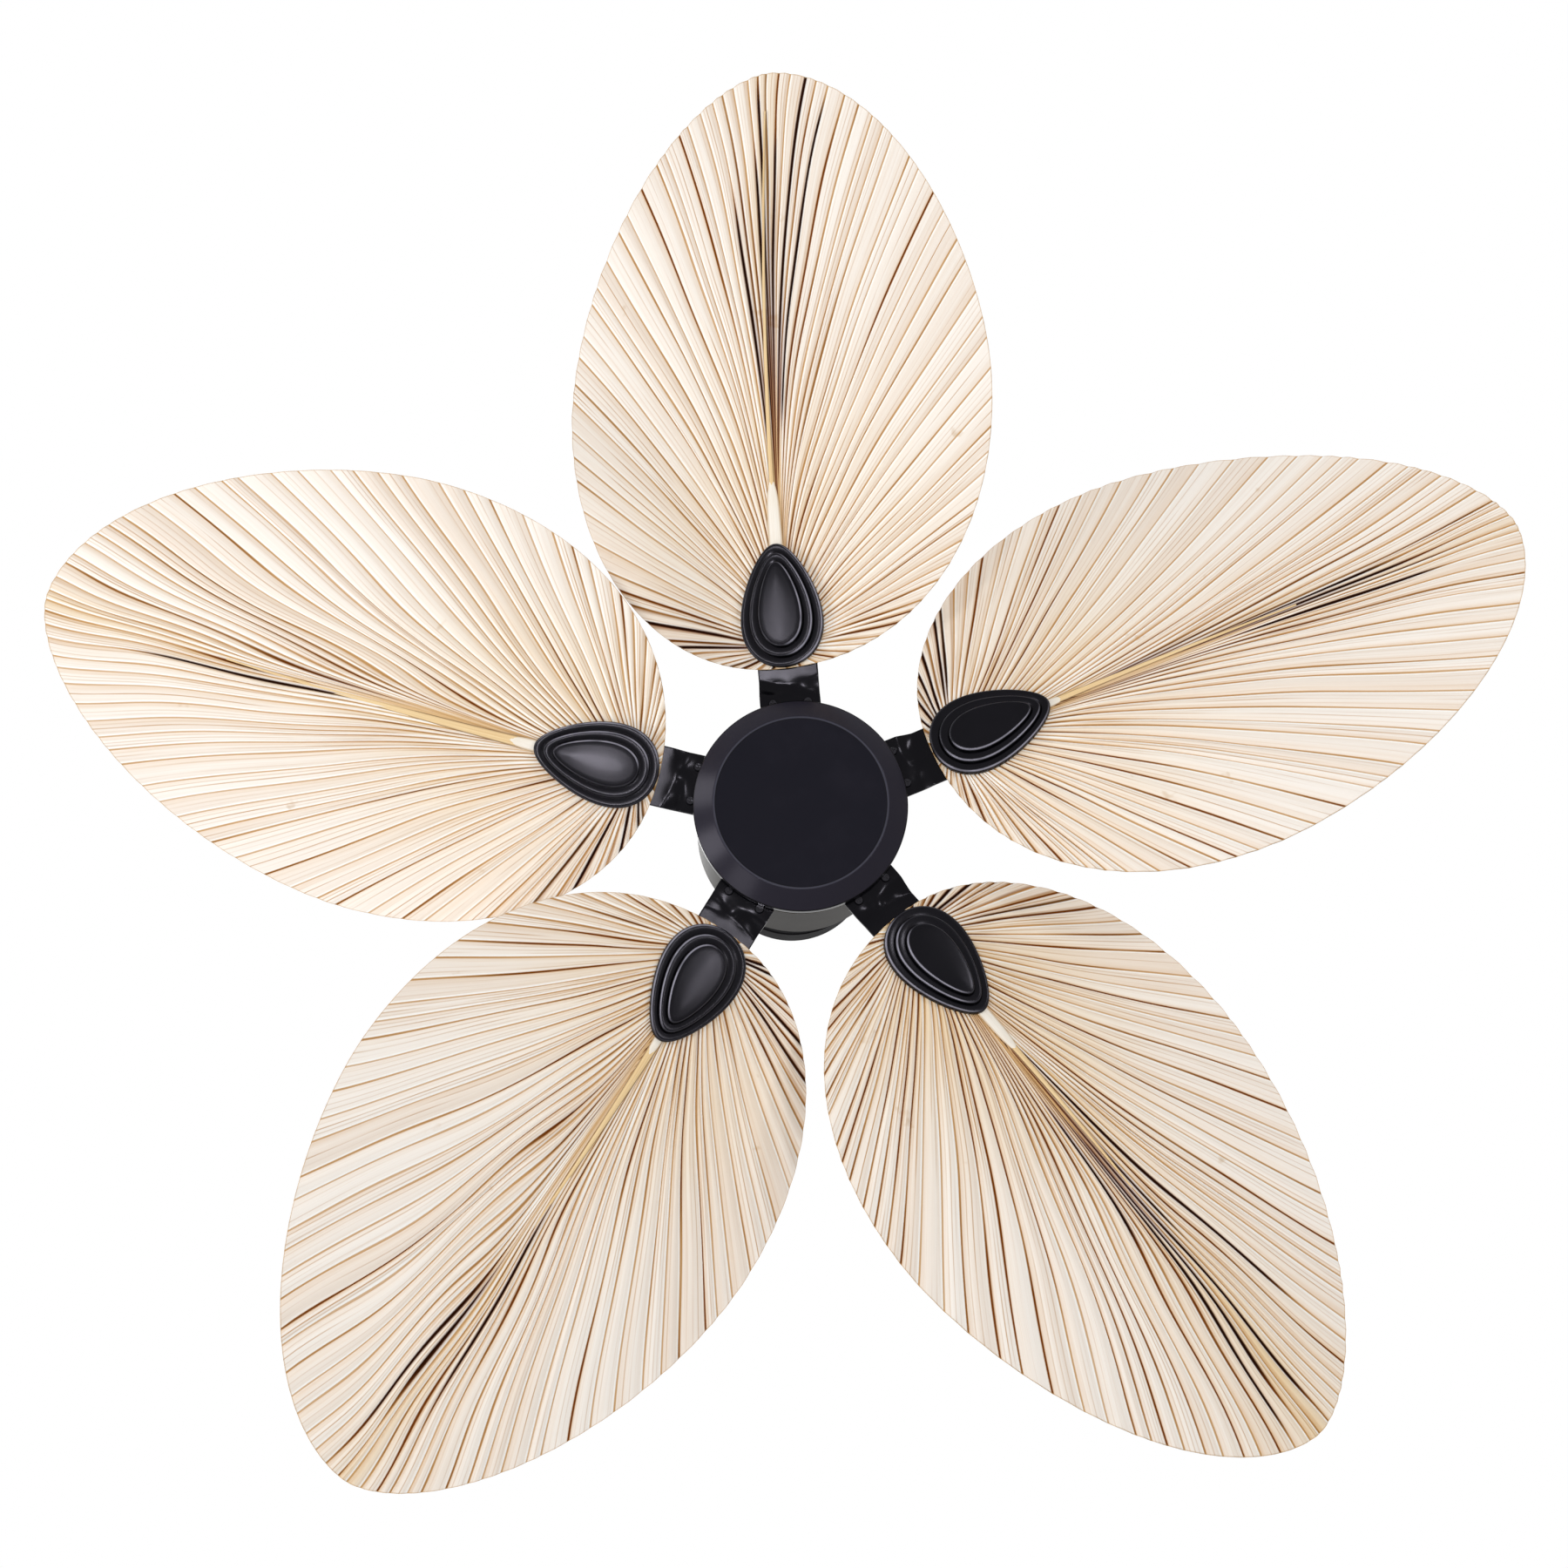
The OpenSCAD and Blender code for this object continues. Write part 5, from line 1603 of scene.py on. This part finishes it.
@dataclass
class BladeArm:
    """A stamped steel arm: flat under the rotor, bent and dimpled, then beside the leaf.

    Attributes:
        width: Its width.
        sheet: Thickness of its steel.
        inner: Distance of its inner end from the fan's axis.
        outer: Distance of its outer end.
        bend_in: Where its bend starts.
        bend_pinch: Where its bend ends in the middle of the arm.
        bend_out: Where its bend ends at the arm's sides.
        taper: Where its rounded end starts.
        flat_z: Height of the flat part's middle.
        leaf_w: Height of the outer part's middle over the leaf's plane.
        dimple: Depth of the dimple on each side of the bend.
        dimple_at: Distance of the dimples from the fan's axis and from the arm's middle.
        dimple_size: Their size along and across the arm.
        crowding: How much closer the mesh's rows lie at the bend.
        crowd_at: Where they lie closest, as a share of a turn.
    """

    width: float = 0.052
    sheet: float = 0.0025
    inner: float = 0.066
    outer: float = 0.218
    bend_in: float = 0.0985
    bend_pinch: float = 0.1080
    bend_out: float = 0.1145
    taper: float = 0.180
    flat_z: float = -0.25625
    leaf_w: float = 0.00305
    dimple: float = 0.0019
    dimple_at: Pair = (0.1035, 0.0130)
    dimple_size: Pair = (0.0068, 0.0090)
    crowding: float = 0.10
    crowd_at: float = 0.22

    # the bend: how its end flares to the sides, where it is steep, and how it eases in
    FLARE = 0.8
    STEEP = (0.45, 0.75)
    EASE = 0.12
    SHARP_POWER = 1.12
    SLOW_POWER = 1.6

    def half_at(self, x: float) -> float:
        """Half the arm's width at a distance from the fan's axis."""
        share = max(0.0, (x - self.taper) / (self.outer - self.taper))
        return self.width / 2 * math.sqrt(max(0.04, 1 - share * share))

    def blend(self, x: float, y: float) -> float:
        """How far a point is past the bend, which starts sharply on the steep side only.

        Args:
            x: The point's distance from the fan's axis.
            y: Its distance from the arm's middle.
        Returns:
            A share, from 0 on the flat part to 1 on the pitched part.
        """
        off = y / (self.width / 2)
        flare = min(1.0, abs(off)) ** self.FLARE
        end = self.bend_pinch + (self.bend_out - self.bend_pinch) * flare
        share = min(1.0, max(0.0, (x - self.bend_in) / (end - self.bend_in)))
        steep = min(1.0, max(0.0, self.STEEP[0] - self.STEEP[1] * off))
        eased = share * share * (1 + self.EASE) / (share + self.EASE)
        sharp, slow = 1 - (1 - eased) ** self.SHARP_POWER, share ** self.SLOW_POWER
        return slow + (sharp - slow) * steep

    def dents(self, x: float, y: float) -> float:
        """Depth of the dimples on both sides of the pinched bend.

        Args:
            x: The point's distance from the fan's axis.
            y: Its distance from the arm's middle.
        Returns:
            How far the point is pressed up.
        """
        along, across = self.dimple_at
        size_x, size_y = self.dimple_size
        return self.dimple * sum(
            math.exp(-((x - along) / size_x) ** 2 - ((y - side * across) / size_y) ** 2)
            for side in (-1, 1))

    def build(self, name: str, plan: BladePlan) -> Piece:
        """Makes the arm of the first blade: a strip pressed over its bend, then thickened.

        Args:
            name: The piece's name.
            plan: Where the blades lie.
        Returns:
            The arm.
        """
        nothing_selected()
        bpy.ops.mesh.primitive_grid_add(x_subdivisions=130, y_subdivisions=44, size=2)
        piece = newest(name)
        tilt = plan.tilt()
        for vertex in piece.data.vertices:
            share = (vertex.co.x + 1) / 2
            crowded = share + self.crowding * (math.sin(FULL_TURN * self.crowd_at)
                                               - math.sin(FULL_TURN * (share + self.crowd_at)))
            x = self.inner + (self.outer - self.inner) * crowded
            y = vertex.co.y * self.half_at(x)
            level = Vector((x, y, self.flat_z))
            pitched = tilt @ Vector((x, y, self.leaf_w))
            vertex.co = (level.lerp(pitched, self.blend(x, y))
                         + Vector((0, 0, self.dents(x, y))))
        close_up(piece)
        apply_modifier(piece, "SOLIDIFY", thickness=self.sheet, offset=0.0)
        apply_modifier(piece, "BEVEL", width=0.00035, segments=2, limit_method="ANGLE",
                       angle_limit=math.radians(50))
        smooth(piece, 50)
        return piece


LEAVES = (
    PalmLeaf(1, widest=0.349, tip=0.662, lead=0.1945, trail=0.174, lean=0.016, ink=0.9,
             gap_shade=0.9, shaded_gaps=(-2, -1, 2), gap_shade_span=(0.20, 0.95), gold=0.10,
             tongue=(0.246, 0.0038), midrib=(0.46, 0.0028)),
    PalmLeaf(2, widest=0.353, tip=0.663, lead=0.196, trail=0.1685, lean=0.0285, wave=0.28,
             ink=1.35, gap_shade=1.0, shaded_gaps=(-6, -3, -1, 1, 2, 5),
             gap_shade_span=(0.12, 0.80), gold=0.35, tongue=(0.277, 0.0048), midrib=(0.42, 0.0034)),
    PalmLeaf(3, widest=0.361, tip=0.662, lead=0.203, trail=0.171, lean=0.026, wave=0.42,
             ink=1.05, gap_shade=0.65, shaded_gaps=(-3, 1, 2), gap_shade_span=(0.45, 0.85), gold=0.12,
             tongue=(0.250, 0.0036), midrib=(0.44, 0.0040)),
    PalmLeaf(4, widest=0.3565, tip=0.658, lead=0.194, trail=0.1735, lean=0.0235, wave=0.36,
             ink=0.75, gap_shade=0.7, shaded_gaps=(-3, -1), gap_shade_span=(0.45, 0.75), gold=0.12,
             tongue=(0.258, 0.0048), midrib=(0.50, 0.0052)),
    PalmLeaf(5, widest=0.355, tip=0.6545, lead=0.1965, trail=0.176, lean=0.029, ink=1.05,
             gap_shade=1.0, shaded_gaps=(-5, -2, -1, 1, 3, 5), gap_shade_span=(0.30, 1.0), gold=0.08,
             tongue=(0.292, 0.0058), midrib=(0.62, 0.0022)),
)


@dataclass
class Blades:
    """The five blades: leaves with their tongues and midribs, medallions and arms.

    Attributes:
        plan: Where the blades lie.
        paint: The finishes.
    """

    plan: BladePlan
    paint: Paintshop

    def build(self) -> None:
        """Makes the pieces of every blade."""
        medallion = Medallion().build("medallion_cover")
        arm = BladeArm().build("stamped_arm", self.plan)
        for number, leaf in enumerate(LEAVES, 1):
            place = self.plan.leaf(number)
            self.build_leaf(number, leaf, place)
            self.paint.dress(copy_to(medallion, f"medallion_cover_{number}", place),
                             "medallion_black", Body.ROTOR, f"medallion_{number}")
            self.paint.dress(copy_to(arm, f"stamped_arm_{number}", self.plan.level(number)),
                             "arm_gloss_black", Body.ROTOR, f"blade_arm_{number}")
        for pattern in (medallion, arm):
            bpy.data.objects.remove(pattern)

    def build_leaf(self, number: int, leaf: PalmLeaf, place: Matrix) -> None:
        """Makes a leaf, the tongue of its stalk and its midrib.

        Args:
            number: Number of the blade, from 1.
            leaf: The leaf.
            place: Takes the leaf's plane to the blade's place.
        """
        sheet = leaf.build(f"palm_leaf_{number}")
        tongue = LeafRib(0.205, *leaf.tongue, drop=-0.0026, taper=6.0)
        midrib = LeafRib(0.225, *leaf.midrib, drop=-0.0018, taper=0.75)
        pieces = ((sheet, None, (f"leaf_blade_{number}",)),
                  (tongue.build(f"leaf_tongue_{number}", leaf), self.paint.tongue, ()),
                  (midrib.build(f"leaf_midrib_{number}", leaf), self.paint.midrib, ()))
        for piece, material, nodes in pieces:
            piece.data.transform(place)
            self.paint.dress(piece, "palm_leaf", Body.ROTOR, *nodes, material=material)


# ---------- turned shells ----------


@dataclass
class BottomCap:
    """The pan under the motor: a straight rim, a wide chamfer and a flat face.

    Attributes:
        paint: The finishes.
        face: Radius of the flat face.
        wall: Height of the straight rim.
        edge: Width of the thin ring round the face.
        step: Width of the step inside that ring.
        sunk: Height of that step.
        middle: Radius at which the face's middle starts.
        corner: Radius of the rounded corners.
        sheet: Thickness of the steel.
    """

    paint: Paintshop
    face: float = 0.0743
    wall: float = 0.008
    edge: float = 0.0016
    step: float = 0.0006
    sunk: float = 0.0003
    middle: float = 0.03
    corner: float = 0.0010
    sheet: float = 0.0012

    def build(self) -> None:
        """Makes the cap."""
        low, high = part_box("bottom_cap")
        rim = high.x
        face_z = low.z + self.sunk
        outside = rounded([(rim, high.z), (rim, high.z - self.wall), (self.face, low.z),
                           (self.face - self.edge, low.z),
                           (self.face - self.edge - self.step, face_z), (self.middle, face_z)],
                          self.corner, 5)
        cap = shell("flat_cap", outside + [(0, face_z)], 192, self.sheet)
        self.paint.dress(cap, "cap_black", Body.FRAME, "bottom_cap")


@dataclass
class DrumHousing:
    """The motor's drum with its rolled lip, its lid and the opening for the reverse switch.

    Attributes:
        paint: The finishes.
        sheet: Thickness of the drum's steel.
        lip: Radius of the rolled lip.
        shelf: Radius to which the drum's upper shelf reaches.
        corner: Radius of the drum's upper edge.
        window: Width and height of the switch's opening.
        window_cut: Depth of the cut through the wall, half of it on each side.
        window_gap: Height of the slider at rest over the opening's lower end.
        lid_rim: Height of the lid's rim.
        lid_ring: Width of the lid's flat outer ring.
        lid_slope: Width of the dome's foot, and its rise as a share of the lid's height.
        lid_shoulder: Width and depth of the dome's shoulder.
        lid_corner: Radius of the lid's rounded corners.
        lid_flat: Radius of the lid's flat middle.
        lid_hole: Radius of the lid's hole.
        lid_sheet: Thickness of the lid's steel.
    """

    paint: Paintshop
    sheet: float = 0.0014
    lip: float = 0.0016
    shelf: float = 0.072
    corner: float = 0.0012
    window: Pair = (0.0044, 0.009)
    window_cut: float = 0.012
    window_gap: float = 0.0005
    lid_rim: float = 0.002
    lid_ring: float = 0.0125
    lid_slope: Pair = (0.005, 0.45)
    lid_shoulder: Pair = (0.008, 0.0016)
    lid_corner: float = 0.002
    lid_flat: float = 0.040
    lid_hole: float = 0.0173
    lid_sheet: float = 0.0012

    def build(self) -> None:
        """Makes the drum and the lid."""
        self.build_drum()
        self.build_lid()

    def build_drum(self) -> None:
        """Makes the drum: a wall with a rolled lip below and a shelf above."""
        low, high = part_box("motor_housing")
        radius = high.x - self.lip
        middle = low.z + self.lip
        roll = [(radius + self.lip * math.sin(turn), middle - self.lip * math.cos(turn))
                for turn in np.linspace(-0.5 * math.pi, 0.9 * math.pi, 12)]
        outside = rounded([(self.shelf, high.z), (radius, high.z), (radius, middle + 2 * self.lip)],
                          self.corner, 5)
        inside = [(radius - self.sheet, middle), (radius - self.sheet, high.z - self.sheet),
                  (self.shelf, high.z - self.sheet)]
        drum = turned("motor_drum", outside + roll[::-1] + inside, 192, closed=True)
        self.cut_window(drum, radius)
        smooth(drum, SHELL_CREASE)
        self.paint.dress(drum, "housing_black", Body.FRAME, "motor_housing")

    def cut_window(self, drum: Piece, radius: float) -> None:
        """Cuts the opening for the switch's slider through the drum's wall.

        Args:
            drum: The drum.
            radius: Radius of its wall.
        """
        low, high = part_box("reverse_slider")
        slider = (low + high) / 2
        angle = math.atan2(slider.y, slider.x)
        nothing_selected()
        bpy.ops.mesh.primitive_cube_add(size=1, location=(
            radius * math.cos(angle), radius * math.sin(angle),
            slider.z + (self.window[1] - (high.z - low.z)) / 2 - self.window_gap))
        cutter = newest("switch_window")
        cutter.scale = (self.window_cut, *self.window)
        cutter.rotation_euler = (0, 0, angle)
        apply_modifier(drum, "BOOLEAN", object=cutter, operation="DIFFERENCE", solver="EXACT")
        bpy.data.objects.remove(cutter)

    def build_lid(self) -> None:
        """Makes the lid: a rim, a flat ring and a shallow dome."""
        low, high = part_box("housing_lid")
        rim = high.x
        ring_z = low.z + self.lid_rim
        inner = rim - self.lid_ring
        slope, rise = self.lid_slope
        shoulder, drop = self.lid_shoulder
        line = rounded([(rim, low.z), (rim, ring_z), (inner, ring_z),
                        (inner - slope, low.z + rise * (high.z - low.z)),
                        (self.lid_flat + shoulder, high.z - drop), (self.lid_flat, high.z),
                        (self.lid_hole, high.z)], self.lid_corner, 4)
        self.paint.dress(shell("drum_lid", line, 160, self.lid_sheet), "housing_black",
                         Body.FRAME, "housing_lid", material=self.paint.materials["canopy_black"])


@dataclass
class CeilingCanopy:
    """The cup against the ceiling, with a bead where its straight wall ends.

    Attributes:
        paint: The finishes.
        wall: Height of its straight wall.
        sheet: Thickness of its steel.
        bead: Radius of its bead.
        foot: Radius at which its round shoulder ends.
        hole: Radius of its hole for the downrod.
    """

    paint: Paintshop
    wall: float = 0.040
    sheet: float = 0.0012
    bead: float = 0.0012
    foot: float = 0.042
    hole: float = 0.017

    def build(self) -> None:
        """Makes the canopy."""
        low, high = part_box("canopy")
        radius = high.x - self.bead
        bead_z = high.z - self.wall
        roll = [(radius + self.bead * math.cos(turn), bead_z - self.bead * math.sin(turn))
                for turn in np.linspace(-0.5 * math.pi, 0.5 * math.pi, 9)]
        shoulder = quarter_line((radius, bead_z - self.bead), (self.foot, low.z), 20)
        outside = [(radius, high.z), *roll, *shoulder[1:], (self.hole, low.z)]
        self.paint.dress(shell("ceiling_canopy", outside, 160, self.sheet), "canopy_black",
                         Body.CEILING, "canopy")


@dataclass
class CouplingCover:
    """The small bell that hides the coupling on top of the motor.

    Attributes:
        paint: The finishes.
        foot: Height of its straight foot.
        crown: Radius at which its round shoulder ends.
        hole: Radius of its hole for the downrod.
        sheet: Thickness of its steel.
    """

    paint: Paintshop
    foot: float = 0.003
    crown: float = 0.012
    hole: float = 0.011
    sheet: float = 0.0012

    def build(self) -> None:
        """Makes the coupling cover."""
        low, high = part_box("coupling_cover")
        shoulder = quarter_line((high.x, low.z + self.foot), (self.crown, high.z), 16)
        outside = [(high.x, low.z), *shoulder, (self.hole, high.z)]
        self.paint.dress(shell("coupling_bell", outside, 128, self.sheet), "canopy_black",
                         Body.FRAME, "coupling_cover")


# ---------- studio ----------


@dataclass(frozen=True)
class PhotoCamera:
    """The camera of the photograph, below the fan and a little to one side.

    Attributes:
        focal: Focal length in pixels of a picture 1800 pixels wide.
        picture: Width of the picture in pixels.
        turns: Turns about X, Y and Z in degrees from the fan's frame to the camera's.
        away: Place of the blades' centre from the camera, in metres: right, down and ahead.
        sensor: Width of the sensor in millimetres.
        far: Distance in metres beyond which nothing is drawn.
    """

    focal: float = 3357.2
    picture: float = 1800.0
    turns: Triple = (-12.26, -1.54, -23.14)
    away: Triple = (0.01347, 0.02215, 2.4826)
    sensor: float = 36.0
    far: float = 50.0

    def build(self, centre: Vector) -> None:
        """Sets up the scene's camera.

        Args:
            centre: The point that the photograph was measured from.
        """
        x_turn, y_turn, z_turn = (Matrix.Rotation(math.radians(angle), 3, axis)
                                  for angle, axis in zip(self.turns, "XYZ"))
        to_fan = (x_turn @ y_turn @ z_turn).transposed()
        data = bpy.data.cameras.new("photo_camera")
        data.sensor_width = self.sensor
        data.lens = self.focal * self.sensor / self.picture
        data.clip_end = self.far
        camera = bpy.data.objects.new("photo_camera", data)
        bpy.context.scene.collection.objects.link(camera)
        right, down, ahead = to_fan.col
        pose = Matrix((right, -down, -ahead)).transposed().to_4x4()
        pose.translation = centre - to_fan @ Vector(self.away)
        camera.matrix_world = pose
        bpy.context.scene.camera = camera


@dataclass(frozen=True)
class Lamp:
    """A soft square lamp, turned to the fan's middle.

    Attributes:
        name: Its name.
        place: Where it stands, in metres.
        width: Its width in metres.
        watts: Its power.
    """

    name: str
    place: Triple
    width: float
    watts: float

    AIM = Vector((0.0, 0.0, -0.25))

    def build(self) -> None:
        """Adds the lamp."""
        data = bpy.data.lights.new(self.name, "AREA")
        data.shape = "SQUARE"
        data.size = self.width
        data.energy = self.watts
        lamp = bpy.data.objects.new(self.name, data)
        bpy.context.scene.collection.objects.link(lamp)
        place = Vector(self.place)
        turn = (self.AIM - place).to_track_quat("-Z", "Y").to_matrix().to_4x4()
        turn.translation = place
        lamp.matrix_world = turn


class Studio:
    """The white room: pale floor, white surroundings and soft lamps."""

    FLOOR_Z = -4.0
    FLOOR_HALF = 60.0
    FLOOR_GLOW = 0.40
    FLOOR_PALE = linear(244, 244, 243)
    FLOOR_GREY = linear(240, 240, 239)
    FLOOR_LIGHT = linear(250, 250, 249)
    WORLD_LEVEL = 0.34
    LAMPS = (
        Lamp("camera_lamp", (-0.52, 0.47, -2.91), 0.26, 15),
        Lamp("right_lamp", (1.10, 0.50, -2.60), 0.28, 7),
        Lamp("left_lamp", (-0.90, -0.75, -2.60), 0.27, 9),
        Lamp("side_lamp", (-2.15, -0.30, -0.98), 0.7, 12.5),
        Lamp("side_lamp_above", (-1.93, 0.85, -1.17), 0.7, 6),
        Lamp("side_lamp_below", (-1.66, -1.52, -0.78), 0.7, 9),
        Lamp("edge_lamp", (1.65, -0.34, -1.81), 0.3, 7),
        Lamp("upper_lamp", (-0.9, -1.4, 2.4), 2.0, 50),
    )

    def build(self) -> None:
        """Builds the floor, the surroundings and the lamps."""
        bpy.context.scene.view_settings.view_transform = "Standard"
        self.build_world()
        self.build_floor()
        for lamp in self.LAMPS:
            lamp.build()

    def build_world(self) -> None:
        """Surroundings that look white, and light the fan at a plain level."""
        world = bpy.data.worlds.new("white_room")
        world.use_nodes = True
        bpy.context.scene.world = world
        nodes = Nodes(world.node_tree)
        background = next(node for node in nodes.tree.nodes if node.type == "BACKGROUND")
        nodes.join((1, 1, 1), background.inputs["Color"])
        nodes.join(nodes.grade(nodes.shown(), self.WORLD_LEVEL, 1.0),
                   background.inputs["Strength"])

    def build_floor(self) -> None:
        """A wide pale floor, far below the fan."""
        nothing_selected()
        bpy.ops.mesh.primitive_plane_add(size=2 * self.FLOOR_HALF, location=(0, 0, self.FLOOR_Z))
        floor = newest("floor")
        graph = Graph("pale_floor")
        marks = graph.span(graph.noise(graph.place(), 3.0, 4.0), 0.3, 0.7)
        graph.set(Base_Color=graph.mix(marks, self.FLOOR_PALE, self.FLOOR_GREY), Roughness=0.8,
                  Emission_Color=self.FLOOR_LIGHT,
                  Emission_Strength=graph.times(graph.shown(), self.FLOOR_GLOW))
        floor.data.materials.append(graph.material)


def main() -> None:
    """Builds the fan's pieces in order, then the studio around them."""
    logging.basicConfig(level=logging.INFO, format="%(message)s")
    plan = BladePlan()
    PhotoCamera().build(Vector((0, 0, plan.plane_z)))
    paint = Paintshop()
    paint.dress_packed()
    Blades(plan, paint).build()
    for assembly in (BottomCap, DrumHousing, CeilingCanopy, CouplingCover):
        assembly(paint).build()
    Studio().build()


if __name__ == "__main__":
    main()
